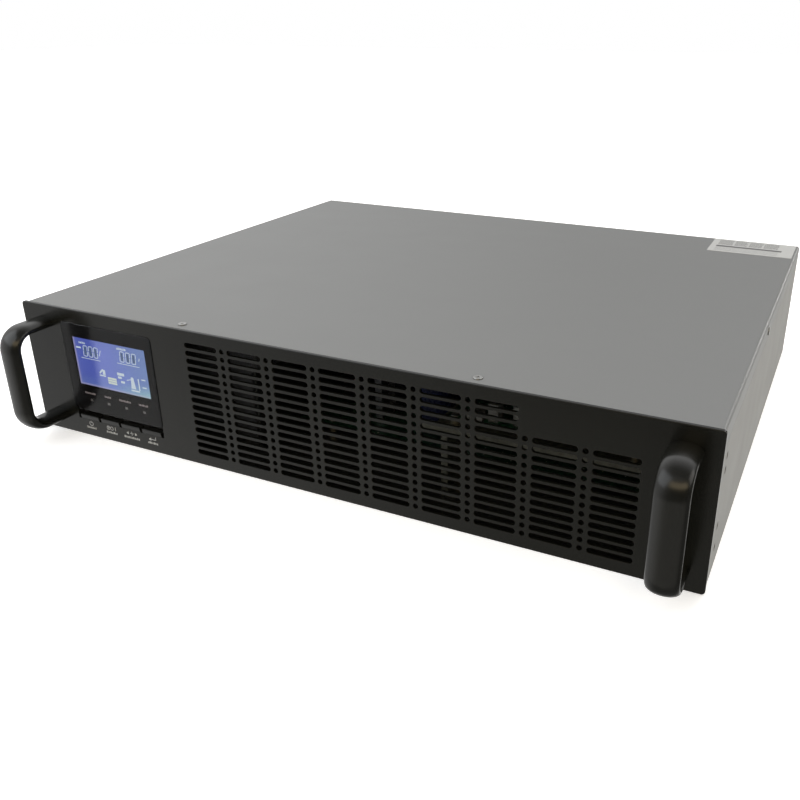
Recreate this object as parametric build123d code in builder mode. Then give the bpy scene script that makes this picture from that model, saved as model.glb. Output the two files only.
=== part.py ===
from build123d import *
import math
import os

# Uninterruptible power supply in a two-unit rack case, as an assembly of separate pieces.
# Frame: origin at the centre of the underside, +X right as seen from the front, +Y back, +Z up.
# All sizes are in millimetres.

os.makedirs("parts", exist_ok=True)

# ---------------------------------------------------------------- driving dimensions
# Case
panel_width = 440.0
panel_height = 88.0
panel_thick = 2.0
panel_corner = 2.0
panel_edge = 0.5
case_depth = 360.0
sheet = 1.2
cover_half = 219.2
cover_top = 87.2
cover_flange = 11.0
cover_bend = 1.8
lap = 0.1
cut_over = 1.0

front = -case_depth / 2
back = case_depth / 2
panel_back = front + panel_thick
cover_under = cover_top - sheet
cover_inner = cover_half - sheet
tray_half = cover_inner - lap
tray_inner = tray_half - sheet
floor_top = sheet
flange_back = panel_back + sheet
rear_plate_back = back - sheet
rear_plate_front = rear_plate_back - sheet
rear_flange_front = rear_plate_front - sheet

# Front vents: columns of round-ended slots with a round vent between neighbours
vent_pitch_x = 31.0
vent_pitch_z = 5.0
vent_rows = 15
vent_short_rows = 12
vent_low = 9.0
slot_length = 23.6
slot_width = 3.4
slot_first = -75.5
slot_full_columns = 7
dot_first = slot_first + vent_pitch_x / 2
dot_full_columns = 6
short_columns = 2
dot_radius = 1.6

# Handles
handle_x = 203.6
handle_width = 16.4
handle_bar = 7.2
handle_low = 11.8
handle_high = 76.0
handle_reach = 30.5
handle_bend = 12.0
handle_hole = 2.0
handle_hole_depth = 14.0
handle_screw_shank = 1.95
handle_screw_head = 3.8
handle_screw_head_thick = 2.4
handle_screw_socket = 1.7

# Display module
lens_left = -188.5
lens_right = -113.7
lens_low = 18.8
lens_high = 79.0
lens_proud = 0.6
lens_thick = 1.5
lens_corner = 3.0
fit_gap = 0.1
mask_thick = 0.2
lcd_left = -180.8
lcd_right = -121.2
lcd_low = 37.1
lcd_high = 69.4
lcd_border = 2.4
lcd_thick = 4.0
lamp_x = (-173.7, -158.7, -143.7, -128.7)
lamp_z = 26.3
lamp_width = 2.5
lamp_height = 2.0
bezel_left = -194.5
bezel_right = -107.5
bezel_low = 6.8
bezel_high = 81.5
bezel_flange_back = panel_back + 2.8
bezel_back = bezel_flange_back + 1.5
board_front = bezel_back + 5.0
board_thick = 1.6
stud_x = (-191.2, -110.6)
stud_z = (13.0, 76.0)
stud_radius = 1.5

# Keys
key_names = ("power_on_key", "power_off_key", "scroll_key", "enter_key")
key_pitch = 17.6
key_width = 15.5
key_low = 11.9
key_high = 15.0
key_proud = 0.5
key_lip = 0.7
key_mid = (lens_left + lens_right) / 2 + 0.6
key_stem_half = 6.0
key_stem_low = 11.9
key_stem_high = 14.6
key_stem_back = panel_back + 5.2
key_lip_front = panel_back + 0.4
key_lip_back = key_lip_front + 1.2
key_slot_low = 11.75
key_slot_gap = 2.4
switch_front = key_stem_back + 1.1

# Rear fans
fan_size = 80.0
fan_depth = 25.0
fan_x = (60.0, 150.0)
fan_z = 43.6
fan_bore = 38.5
fan_hole_offset = 35.75
fan_hole = 2.2
fan_blades = 7
fan_hub = 17.0
fan_tip = 37.6
fan_shaft = 1.5
fan_running_gap = 0.05

# Batteries, lying on their sides
battery_length = 151.0
battery_deep = 94.0
battery_tall = 65.0
battery_pitch = 100.0
battery_left = -214.0
battery_floor = 3.2
battery_first = front + 28.0
battery_names = ("battery_front", "battery_middle", "battery_rear")
tab_width = 6.35
tab_thick = 0.8
tab_length = 5.5
tab_inset = 16.0
tab_height = 24.0

# Electronics
board_low = 9.0
board_top = board_low + board_thick
power_left = -57.0
power_right = 212.0
power_front = -118.0
power_back = 130.0
divider_x = -61.2

# Ear fixing holes in the case sides
ear_hole = 2.1
ear_y = front + 22.0
ear_z = (14.0, 26.5, 57.5, 65.5)

# Small screws with a low round head
screw_head = 2.6
screw_head_thick = 0.7
screw_shank = 1.5
screw_hole = 1.6
screw_slot = 0.5
case_screw_length = 4.4
board_screw_length = 3.8


# ---------------------------------------------------------------- helpers
def facing(y):
    """Plane at y whose local x and y are X and Z, and whose normal points to the front."""
    return Plane.XZ.offset(-y)


def upright(place, size, start, end, mode=Mode.ADD):
    """Box from y start to y end whose X and Z centre is place and whose X and Z size is size."""
    block((place[0] - size[0] / 2, start, place[1] - size[1] / 2),
          (place[0] + size[0] / 2, end, place[1] + size[1] / 2), mode)


def block(low, high, mode=Mode.ADD):
    """Box between two opposite corners."""
    size = [abs(b - a) for a, b in zip(low, high)]
    centre = tuple((a + b) / 2 for a, b in zip(low, high))
    with Locations(centre):
        Box(*size, mode=mode)


def bar_y(x, z, start, end, radius, mode=Mode.ADD):
    """Round bar along Y from start to end."""
    with Locations(Location((x, (start + end) / 2, z), (90, 0, 0))):
        Cylinder(radius, abs(end - start), mode=mode)


def bar_z(x, y, start, end, radius, mode=Mode.ADD):
    """Round bar along Z from start to end."""
    with Locations((x, y, (start + end) / 2)):
        Cylinder(radius, abs(end - start), mode=mode)


def bar_x(y, z, start, end, radius, mode=Mode.ADD):
    """Round bar along X from start to end."""
    with Locations(Location(((start + end) / 2, y, z), (0, 90, 0))):
        Cylinder(radius, abs(end - start), mode=mode)


def vent_places(first, full_columns):
    """Centres of one family of vents: the full columns, then the two short ones at the right."""
    rows = [vent_rows] * full_columns + [vent_short_rows] * short_columns
    return [
        (first + column * vent_pitch_x, vent_low + row * vent_pitch_z)
        for column, count in enumerate(rows)
        for row in range(count)
    ]


# ---------------------------------------------------------------- front panel and handles
window_centre = ((lens_left + lens_right) / 2, (lens_low + lens_high) / 2)
window_size = (lens_right - lens_left + 2 * fit_gap, lens_high - lens_low + 2 * fit_gap)
keys_left = key_mid - 2 * key_pitch
keys_right = key_mid + 2 * key_pitch
handle_screw_places = [(s * handle_x, z) for s in (-1, 1) for z in (handle_low, handle_high)]

with BuildPart() as front_panel:
    with BuildSketch(facing(panel_back)):
        with Locations((0, panel_height / 2)):
            RectangleRounded(panel_width, panel_height, panel_corner)
        with Locations(window_centre):
            RectangleRounded(*window_size, lens_corner, mode=Mode.SUBTRACT)
        with Locations((key_mid, (key_slot_low + lens_low + lens_corner) / 2)):
            Rectangle(
                keys_right - keys_left + key_slot_gap,
                lens_low + lens_corner - key_slot_low,
                mode=Mode.SUBTRACT,
            )
        with Locations(*vent_places(slot_first, slot_full_columns)):
            SlotOverall(slot_length, slot_width, mode=Mode.SUBTRACT)
        with Locations(*vent_places(dot_first, dot_full_columns)):
            Circle(dot_radius, mode=Mode.SUBTRACT)
        with Locations(*handle_screw_places):
            Circle(handle_hole, mode=Mode.SUBTRACT)
    extrude(amount=panel_thick)
    fillet(front_panel.faces().sort_by(Axis.Y)[0].outer_wire().edges(), panel_edge)
front_panel.part.label = "front_panel"
export_step(front_panel.part, "parts/front_panel.step")

handle_mid_y = front - handle_reach + handle_bar / 2
for handle_name, side in (("handle_left", -1), ("handle_right", 1)):
    with BuildPart() as handle:
        with BuildLine(Plane.YZ.offset(side * handle_x)):
            FilletPolyline(
                (front, handle_low),
                (handle_mid_y, handle_low),
                (handle_mid_y, handle_high),
                (front, handle_high),
                radius=handle_bend,
            )
        with BuildSketch(facing(front)):
            with Locations((side * handle_x, handle_low)):
                Ellipse(handle_width / 2, handle_bar / 2)
        sweep()
        for screw_z in (handle_low, handle_high):
            bar_y(
                side * handle_x, screw_z, front - handle_hole_depth, front, handle_hole, Mode.SUBTRACT
            )
    handle.part.label = handle_name
    export_step(handle.part, f"parts/{handle_name}.step")

with BuildPart() as handle_screws:
    for screw_x, screw_z in handle_screw_places:
        bar_y(screw_x, screw_z, front - handle_hole_depth + cut_over, flange_back, handle_screw_shank)
        bar_y(screw_x, screw_z, flange_back, flange_back + handle_screw_head_thick, handle_screw_head)
    chamfer(
        handle_screws.faces().filter_by(Axis.Y).group_by(Axis.Y)[-1].edges(), handle_screw_head_thick / 4
    )
    with BuildSketch(facing(flange_back + handle_screw_head_thick)):
        with Locations(*handle_screw_places):
            RegularPolygon(handle_screw_socket, 6)
    extrude(amount=handle_screw_head_thick / 2, mode=Mode.SUBTRACT)
handle_screws.part.label = "handle_screws"
export_step(handle_screws.part, "parts/handle_screws.step")

# ---------------------------------------------------------------- case sheet metal
front_flange_inner = 196.0
front_flange_top = 83.0
front_lip_top = 6.4
corner_relief = 4.0
rear_flange_inner = 205.0
rear_screw_x = 210.5
rear_screw_z = (18.0, 62.0)
side_screw_y = front + 163.0
side_screw_z = 81.2
rail_y = front + 10.0
rail_screw_x = 96.0
rail_depth = 16.8
rail_low = 81.8
rail_half = 214.0
lip_low = 77.0
lip_screw_x = (-150.0, -4.0, 199.5)
lip_left_end = 14.0
lip_right_start = 194.0
lip_screw_z = 81.5
seam_gap = 0.3
wall_top = cover_under - 0.8
rail_top = cover_under - lap
# The side wall is flush with the cover and steps in by one sheet under the cover's flange
wall_inner = cover_half - sheet
step_top = cover_top - cover_flange - seam_gap
step_low = step_top - sheet

with BuildPart() as chassis_tray:
    # The right half, then its mirror image
    block((0, panel_back, 0), (cover_half, rear_plate_back, floor_top))
    block((wall_inner, panel_back, 0), (cover_half, rear_plate_back, step_top))
    block((tray_inner, panel_back, step_low), (cover_half, rear_plate_back, step_top))
    block((tray_inner, panel_back, step_low), (tray_half, rear_plate_back, wall_top))
    block((front_flange_inner, panel_back, 0), (cover_half, flange_back, step_top))
    block((front_flange_inner, panel_back, 0), (tray_half, flange_back, front_flange_top))
    block((0, panel_back, 0), (cover_half, flange_back, front_lip_top))
    block((rear_flange_inner, rear_flange_front, 0), (cover_half, rear_plate_front, step_top))
    block((rear_flange_inner, rear_flange_front, 0), (tray_half, rear_plate_front, wall_top))
    for screw_z in (handle_low, handle_high):
        bar_y(handle_x, screw_z, panel_back, flange_back, handle_hole, Mode.SUBTRACT)
    for screw_z in rear_screw_z:
        bar_y(rear_screw_x, screw_z, rear_flange_front, rear_plate_front, screw_hole, Mode.SUBTRACT)
    for hole_z in ear_z:
        bar_x(ear_y, hole_z, wall_inner, cover_half, ear_hole, Mode.SUBTRACT)
    bar_x(side_screw_y, side_screw_z, tray_inner, tray_half, screw_hole, Mode.SUBTRACT)
    with BuildSketch(Plane.YZ):
        with BuildLine():
            Polyline(
                (panel_back, 0), (panel_back + corner_relief, 0), (panel_back, corner_relief), close=True
            )
        make_face()
    extrude(amount=cover_half, mode=Mode.SUBTRACT)
    mirror(about=Plane.YZ)
chassis_tray.part.label = "chassis_tray"
export_step(chassis_tray.part, "parts/chassis_tray.step")

with BuildPart() as front_rail:
    block((-rail_half, flange_back, rail_top - sheet), (rail_half, flange_back + rail_depth, rail_top))
    block((-rail_half, flange_back, rail_low), (rail_half, flange_back + sheet, rail_top))
    for side in (-1, 1):
        bar_z(side * rail_screw_x, rail_y, rail_top - sheet, rail_top, screw_hole, Mode.SUBTRACT)
front_rail.part.label = "front_rail"
export_step(front_rail.part, "parts/front_rail.step")

with BuildPart() as top_cover:
    with BuildSketch(facing(back)) as cover_profile:
        with Locations((0, cover_top - cover_flange / 2)):
            Rectangle(2 * cover_half, cover_flange)
        with Locations((0, cover_under - cover_flange / 2)):
            Rectangle(2 * cover_inner, cover_flange, mode=Mode.SUBTRACT)
        fillet(cover_profile.vertices().group_by(Axis.Y)[-1], cover_bend)
        fillet(cover_profile.vertices().filter_by(lambda v: abs(v.Y - cover_under) < lap), cover_bend / 3)
    extrude(amount=back - panel_back)
    block((-cover_inner, rear_plate_back, lip_low), (lip_left_end, back, cover_under + lap))
    block((lip_right_start, rear_plate_back, lip_low), (cover_inner, back, cover_under + lap))
    for side in (-1, 1):
        bar_z(
            side * rail_screw_x,
            rail_y,
            cover_under - cut_over,
            cover_top + cut_over,
            screw_hole,
            Mode.SUBTRACT,
        )
        bar_x(
            side_screw_y,
            side_screw_z,
            side * cover_half - 2 * cut_over,
            side * cover_half + 2 * cut_over,
            screw_hole,
            Mode.SUBTRACT,
        )
    for screw_x in lip_screw_x:
        bar_y(screw_x, lip_screw_z, rear_plate_back - cut_over, back + cut_over, screw_hole, Mode.SUBTRACT)
top_cover.part.label = "top_cover"
export_step(top_cover.part, "parts/top_cover.step")

# ---------------------------------------------------------------- rear panel and what it carries
rear_half = tray_inner - seam_gap
rear_half_low = wall_inner - seam_gap
rear_low = 1.4
inlet_place = (-186.0, 58.0)
breaker_place = (-186.0, 22.0)
breaker_hole = 5.5
outlet_places = [(x, z) for x in (-146.0, -108.0, -70.0) for z in (22.0, 58.0)]
socket_width = 27.0
socket_height = 19.6
socket_depth = 23.0
socket_flange = (31.5, 25.0)
socket_flange_thick = 2.2
slot_cover_place = (-15.0, 64.5)
slot_cover_size = (62.0, 21.0)
slot_window = (46.0, 17.0)
slot_cover_hole = 26.5
slot_cover_corner = 1.0
serial_place = (-27.0, 40.5)
serial_window = (19.4, 10.4)
usb_place = (6.0, 40.5)
usb_window = (12.4, 11.4)
network_places = ((-35.5, 18.5), (-17.5, 18.5))
network_size = (16.0, 14.0)
epo_place = (8.0, 18.5)
epo_size = (13.0, 12.0)
ground_place = (198.0, 40.0)
ground_shoulder = 2.4
ground_radius = 1.9
ground_root = 8.0
ground_pin = 8.8
ground_nut_thick = 3.2
ground_nut_back = rear_plate_back + ground_nut_thick
guard_thick = 1.6
fan_front = rear_plate_front - fan_depth
fan_corners = [
    (x + i * fan_hole_offset, fan_z + k * fan_hole_offset) for x in fan_x for i in (-1, 1) for k in (-1, 1)
]


def iec_outline(width, height, cut):
    """Flat outline of a power socket face: a rectangle with its two upper corners cut off."""
    half_w, half_h = width / 2, height / 2
    with BuildLine() as outline:
        Polyline(
            (-half_w, -half_h),
            (half_w, -half_h),
            (half_w, half_h - cut),
            (half_w - cut, half_h),
            (-half_w + cut, half_h),
            (-half_w, half_h - cut),
            close=True,
        )
    return make_face(outline.edges())


with BuildPart() as rear_panel:
    block((-rear_half, rear_plate_front, rear_low), (rear_half, rear_plate_back, wall_top))
    block((-rear_half_low, rear_plate_front, rear_low),
          (rear_half_low, rear_plate_back, step_low - seam_gap))
    with BuildSketch(facing(rear_plate_front)):
        with Locations(*[(x, fan_z) for x in fan_x]):
            Circle(fan_bore)
        with Locations(*fan_corners):
            Circle(fan_hole)
        with Locations(inlet_place, *outlet_places):
            Rectangle(socket_width + 2 * fit_gap, socket_height + 2 * fit_gap)
        with Locations(breaker_place):
            Circle(breaker_hole)
        with Locations(slot_cover_place):
            Rectangle(*slot_window)
        with Locations(*[(slot_cover_place[0] + s * slot_cover_hole, slot_cover_place[1]) for s in (-1, 1)]):
            Circle(screw_hole)
        with Locations(serial_place):
            Rectangle(*serial_window)
        with Locations(usb_place):
            Rectangle(*usb_window)
        with Locations(*network_places):
            Rectangle(network_size[0] + 2 * fit_gap, network_size[1] + 2 * fit_gap)
        with Locations(epo_place):
            Rectangle(epo_size[0] + 2 * fit_gap, epo_size[1] + 2 * fit_gap)
        with Locations(ground_place):
            Circle(ground_shoulder + fit_gap)
        with Locations(*[(s * rear_screw_x, z) for s in (-1, 1) for z in rear_screw_z]):
            Circle(screw_hole)
        with Locations(*[(x, lip_screw_z) for x in lip_screw_x]):
            Circle(screw_hole)
    extrude(amount=-sheet, mode=Mode.SUBTRACT)
rear_panel.part.label = "rear_panel"
export_step(rear_panel.part, "parts/rear_panel.step")

socket_front = rear_plate_back - socket_depth
socket_back = rear_plate_back + socket_flange_thick
inlet_cavity = (24.4, 16.8)
inlet_cavity_depth = 17.0
pin_size = (4.0, 2.0)
pin_recess = 4.8
pin_root = 6.0
inlet_cut = 4.0
outlet_groove = (25.0, 17.4, 4.2)
outlet_face = (20.6, 13.0, 3.2)
flange_corner = 1.5
contact_play = 0.4
pin_spots = ((-7.0, -2.0), (7.0, -2.0), (0.0, 2.0))

with BuildPart() as power_inlet:
    with BuildSketch(facing(socket_back)):
        with Locations(inlet_place):
            RectangleRounded(*socket_flange, flange_corner)
    extrude(amount=socket_flange_thick)
    with BuildSketch(facing(rear_plate_back)):
        with Locations(inlet_place):
            Rectangle(socket_width, socket_height)
    extrude(amount=socket_depth)
    with BuildSketch(facing(socket_back)):
        with Locations(inlet_place):
            add(iec_outline(*inlet_cavity, inlet_cut))
    extrude(amount=inlet_cavity_depth, mode=Mode.SUBTRACT)
    with BuildSketch(facing(socket_back)):
        with Locations(*[(inlet_place[0] + x, inlet_place[1] + z) for x, z in pin_spots]):
            Rectangle(pin_size[1], pin_size[0])
    extrude(amount=socket_depth + socket_flange_thick, mode=Mode.SUBTRACT)
power_inlet.part.label = "power_inlet"
export_step(power_inlet.part, "parts/power_inlet.step")

with BuildPart() as inlet_pins:
    for pin_x, pin_z in pin_spots:
        pin_place = (inlet_place[0] + pin_x, inlet_place[1] + pin_z)
        upright(pin_place, (pin_size[1], pin_size[0]), socket_front - pin_root, socket_back - pin_recess)
inlet_pins.part.label = "inlet_pins"
export_step(inlet_pins.part, "parts/inlet_pins.step")

with BuildPart() as power_outlets:
    with BuildSketch(facing(socket_back)):
        with Locations(*outlet_places):
            RectangleRounded(*socket_flange, flange_corner)
    extrude(amount=socket_flange_thick)
    with BuildSketch(facing(rear_plate_back)):
        with Locations(*outlet_places):
            Rectangle(socket_width, socket_height)
    extrude(amount=socket_depth)
    with BuildSketch(facing(socket_back)):
        with Locations(*outlet_places):
            add(iec_outline(*outlet_groove))
            add(iec_outline(*outlet_face), mode=Mode.SUBTRACT)
        for outlet_x, outlet_z in outlet_places:
            with Locations(*[(outlet_x + x, outlet_z + z) for x, z in pin_spots]):
                Rectangle(pin_size[1] + contact_play, pin_size[0] + contact_play)
    extrude(amount=inlet_cavity_depth, mode=Mode.SUBTRACT)
power_outlets.part.label = "power_outlets"
export_step(power_outlets.part, "parts/power_outlets.step")

button_radius = 3.2
button_proud = 8.0
button_round = 1.0
breaker_barrel = 8.0
breaker_depth = 20.0
breaker_nut = 8.0
breaker_nut_thick = 3.0
breaker_collar = 6.0
breaker_bore_depth = 6.0
breaker_bore = rear_plate_front - breaker_bore_depth
breaker_face = rear_plate_back + breaker_collar

with BuildPart() as breaker_body:
    bar_y(*breaker_place, rear_plate_front - breaker_depth, rear_plate_front, breaker_barrel)
    bar_y(*breaker_place, rear_plate_front, breaker_face, breaker_hole - fit_gap)
    with BuildSketch(facing(rear_plate_back + breaker_nut_thick)):
        with Locations(breaker_place):
            RegularPolygon(breaker_nut, 6)
            Circle(breaker_hole - fit_gap, mode=Mode.SUBTRACT)
    extrude(amount=breaker_nut_thick)
    bar_y(*breaker_place, breaker_bore, breaker_face, button_radius + fit_gap, Mode.SUBTRACT)
breaker_body.part.label = "breaker_body"
export_step(breaker_body.part, "parts/breaker_body.step")

with BuildPart() as breaker_button:
    bar_y(*breaker_place, breaker_bore + lap, rear_plate_back + button_proud, button_radius)
    fillet(breaker_button.faces().sort_by(Axis.Y)[-1].edges(), button_round)
breaker_button.part.label = "breaker_button"
export_step(breaker_button.part, "parts/breaker_button.step")

serial_flange = (31.0, 12.4)
serial_flange_thick = 2.0
serial_body = (26.0, 11.0)
port_depth = 14.0
serial_proud = 5.0
serial_half_top = 9.0
serial_half_low = 7.6
serial_half_height = 4.6
serial_corner = 1.6
contact_pitch = 2.77
contact_row = 1.42
contact_radius = 0.55
usb_shell = (12.0, 11.0)
usb_mouth = (8.4, 7.8)
usb_tongue = (5.6, 3.2)
usb_depth = 8.0
usb_proud = 0.6
usb_tongue_recess = 1.5
epo_wall = 1.0
epo_depth = 9.0
epo_proud = 0.4

with BuildPart() as data_ports:
    # Serial port: flange and body inside the rear panel, shell with nine contact holes outside
    upright(serial_place, serial_flange, rear_plate_front - serial_flange_thick, rear_plate_front)
    upright(serial_place, serial_body, rear_plate_front - port_depth, rear_plate_front - serial_flange_thick)
    with BuildSketch(facing(rear_plate_back + serial_proud)) as serial_face:
        with BuildLine():
            Polyline(
                (serial_place[0] - serial_half_top, serial_place[1] + serial_half_height),
                (serial_place[0] + serial_half_top, serial_place[1] + serial_half_height),
                (serial_place[0] + serial_half_low, serial_place[1] - serial_half_height),
                (serial_place[0] - serial_half_low, serial_place[1] - serial_half_height),
                close=True,
            )
        make_face()
        fillet(serial_face.vertices(), serial_corner)
        for side, contacts in ((1, 5), (-1, 4)):
            with Locations((serial_place[0], serial_place[1] + side * contact_row)):
                with GridLocations(contact_pitch, 0, contacts, 1):
                    Circle(contact_radius, mode=Mode.SUBTRACT)
    extrude(amount=serial_proud + sheet)
    # USB port: metal shell around a tongue
    usb_face = rear_plate_back + usb_proud
    upright(usb_place, usb_shell, rear_plate_front - port_depth, usb_face)
    upright(usb_place, usb_mouth, rear_plate_front - usb_depth, usb_face, Mode.SUBTRACT)
    upright(usb_place, usb_tongue, rear_plate_front - usb_depth, rear_plate_back - usb_tongue_recess)
    # Header of the emergency power-off contact, open to the back
    epo_face = rear_plate_back + epo_proud
    epo_mouth = (epo_size[0] - 2 * epo_wall, epo_size[1] - 2 * epo_wall)
    upright(epo_place, epo_size, rear_plate_front - port_depth, epo_face)
    upright(epo_place, epo_mouth, rear_plate_front - epo_depth, epo_face, Mode.SUBTRACT)
data_ports.part.label = "data_ports"
export_step(data_ports.part, "parts/data_ports.step")

network_mouth = (11.8, 7.0)
network_mouth_low = 0.1
network_latch = (6.2, 1.8)
network_latch_up = 4.3
network_body_depth = 16.0
network_depth = 12.0
network_proud = 0.8

with BuildPart() as network_ports:
    network_face = rear_plate_back + network_proud
    for port_x, port_z in network_places:
        mouth_place = (port_x, port_z - network_mouth_low)
        latch_place = (port_x, port_z + network_latch_up)
        mouth_front = rear_plate_front - network_depth
        upright((port_x, port_z), network_size, rear_plate_front - network_body_depth, network_face)
        upright(mouth_place, network_mouth, mouth_front, network_face, Mode.SUBTRACT)
        upright(latch_place, network_latch, mouth_front, network_face, Mode.SUBTRACT)
network_ports.part.label = "network_ports"
export_step(network_ports.part, "parts/network_ports.step")

plug_play = 0.3
plug_size = (epo_mouth[0] - 2 * plug_play, epo_mouth[1] - 2 * plug_play)
plug_front = rear_plate_front - epo_depth + plug_play + lap
plug_back = rear_plate_back + 9.0
wire_pitch = 5.08
wire_hole = 1.1
wire_hole_low = 1.6
wire_hole_front = rear_plate_back + 1.0
clamp_hole = 1.3
clamp_hole_y = rear_plate_back + 5.5
clamp_hole_start = 1.0

with BuildPart() as epo_plug:
    upright(epo_place, plug_size, plug_front, plug_back)
    for side in (-1, 1):
        wire_x = epo_place[0] + side * wire_pitch / 2
        bar_y(wire_x, epo_place[1] - wire_hole_low, wire_hole_front, plug_back, wire_hole, Mode.SUBTRACT)
        bar_z(wire_x, clamp_hole_y, epo_place[1] + clamp_hole_start, epo_place[1] + plug_size[1], clamp_hole,
              Mode.SUBTRACT)
epo_plug.part.label = "epo_plug"
export_step(epo_plug.part, "parts/epo_plug.step")

with BuildPart() as slot_cover:
    with BuildSketch(facing(rear_plate_back + sheet)):
        with Locations(slot_cover_place):
            RectangleRounded(*slot_cover_size, slot_cover_corner)
        with Locations(*[(slot_cover_place[0] + s * slot_cover_hole, slot_cover_place[1]) for s in (-1, 1)]):
            Circle(screw_hole, mode=Mode.SUBTRACT)
    extrude(amount=sheet)
slot_cover.part.label = "slot_cover"
export_step(slot_cover.part, "parts/slot_cover.step")

# ---------------------------------------------------------------- fans
hub_plate = 3.0
hub_skin = 2.0
hub_face = 3.0
hub_edge = 1.2
strut_width = 4.0
strut_count = 4
strut_angle = 30
frame_corner = 4.0
rotor_front = fan_front + 1.0
rotor_back = rear_plate_front - hub_plate - 0.8
rotor_length = rotor_back - rotor_front
bearing_outer = 4.0
bearing_front = rotor_front + 5.0
shaft_short = 2.0
blade_chord = 17.0
blade_thick = 1.5
blade_pitch = 38.0
blade_over = 4.0
blade_mid_y = (rotor_front + rotor_back) / 2

with BuildPart() as fan_frames:
    with BuildSketch(facing(rear_plate_front)):
        with Locations(*[(x, fan_z) for x in fan_x]):
            RectangleRounded(fan_size, fan_size, frame_corner)
            Circle(fan_bore, mode=Mode.SUBTRACT)
        with Locations(*fan_corners):
            Circle(fan_hole, mode=Mode.SUBTRACT)
    extrude(amount=fan_depth)
    with BuildSketch(facing(rear_plate_front)):
        for centre_x in fan_x:
            with Locations((centre_x, fan_z)):
                Circle(fan_hub)
                with PolarLocations((fan_hub + fan_bore) / 2, strut_count, start_angle=strut_angle):
                    Rectangle(fan_bore - fan_hub + 2 * cut_over, strut_width)
    extrude(amount=hub_plate)
    for centre_x in fan_x:
        bar_y(centre_x, fan_z, bearing_front, rear_plate_front - hub_plate, bearing_outer)
        bar_y(centre_x, fan_z, bearing_front, rear_plate_front - hub_plate, fan_shaft + fan_running_gap,
              Mode.SUBTRACT)
fan_frames.part.label = "fan_frames"
export_step(fan_frames.part, "parts/fan_frames.step")

for rotor_name, centre_x in zip(("fan_rotor_left", "fan_rotor_right"), fan_x):
    with BuildPart() as fan_rotor:
        with PolarLocations(0, fan_blades):
            with Locations(Location(((fan_hub + fan_tip) / 2, 0, 0), (blade_pitch, 0, 0))):
                Box(fan_tip - fan_hub + blade_over, blade_chord, blade_thick)
        Cylinder(fan_tip, 2 * fan_depth, mode=Mode.INTERSECT)
        Cylinder(fan_hub, rotor_length)
        fillet(fan_rotor.edges().filter_by(GeomType.CIRCLE).group_by(Axis.Z)[-1], hub_edge)
        with Locations((0, 0, -hub_face / 2)):
            Cylinder(fan_hub - hub_skin, rotor_length - hub_face, mode=Mode.SUBTRACT)
        Cylinder(fan_shaft, rotor_length - shaft_short)
    turned = Location((centre_x, blade_mid_y, fan_z), (90, 0, 0))
    placed = fan_rotor.part.moved(turned)
    placed.label = rotor_name
    export_step(placed, f"parts/{rotor_name}.step")

# ---------------------------------------------------------------- display module
lens_back = front - lens_proud + lens_thick
mask_back = lens_back + mask_thick
lens_size = (lens_right - lens_left, lens_high - lens_low)
lcd_centre = ((lcd_left + lcd_right) / 2, (lcd_low + lcd_high) / 2)
lcd_size = (lcd_right - lcd_left, lcd_high - lcd_low)
lcd_outer = (lcd_size[0] + 2 * lcd_border, lcd_size[1] + 2 * lcd_border)
lamp_places = [(x, lamp_z) for x in lamp_x]
stud_places = [(x, z) for x in stud_x for z in stud_z]
stud_hole = stud_radius + fit_gap
nut_thick = 2.4
nut_radius = 3.1
stud_back = board_front + board_thick + nut_thick + cut_over
lens_edge = 0.4
lcd_corner = 0.6
lcd_front = mask_back + fit_gap
lamp_gap = 0.3
boss_radius = 3.4
key_pocket_low = bezel_low + 2.4
key_pocket_side = 1.5
stem_gap = 0.3
board_inset = 0.5
key_edge = 0.25
key_skirt = 1.3
switch_half = 3.0
switch_button = 0.7
switch_button_radius = 1.7

with BuildPart() as display_lens:
    with BuildSketch(facing(lens_back)):
        with Locations(window_centre):
            RectangleRounded(*lens_size, lens_corner)
    extrude(amount=lens_thick)
    fillet(display_lens.faces().sort_by(Axis.Y)[0].edges(), lens_edge)
display_lens.part.label = "display_lens"
export_step(display_lens.part, "parts/display_lens.step")

with BuildPart() as lens_mask:
    with BuildSketch(facing(mask_back)):
        with Locations(window_centre):
            RectangleRounded(*lens_size, lens_corner)
        with Locations(lcd_centre):
            Rectangle(*lcd_size, mode=Mode.SUBTRACT)
        with Locations(*lamp_places):
            Rectangle(lamp_width, lamp_height, mode=Mode.SUBTRACT)
    extrude(amount=mask_thick)
lens_mask.part.label = "lens_mask"
export_step(lens_mask.part, "parts/lens_mask.step")

with BuildPart() as lcd_panel:
    with BuildSketch(facing(lcd_front + lcd_thick)):
        with Locations(lcd_centre):
            RectangleRounded(*lcd_outer, lcd_corner)
    extrude(amount=lcd_thick)
lcd_panel.part.label = "lcd_panel"
export_step(lcd_panel.part, "parts/lcd_panel.step")

with BuildPart() as status_lamps:
    with BuildSketch(facing(board_front)):
        with Locations(*lamp_places):
            Rectangle(lamp_width - lamp_gap, lamp_height - lamp_gap)
    extrude(amount=board_front - mask_back)
status_lamps.part.label = "status_lamps"
export_step(status_lamps.part, "parts/status_lamps.step")

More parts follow.
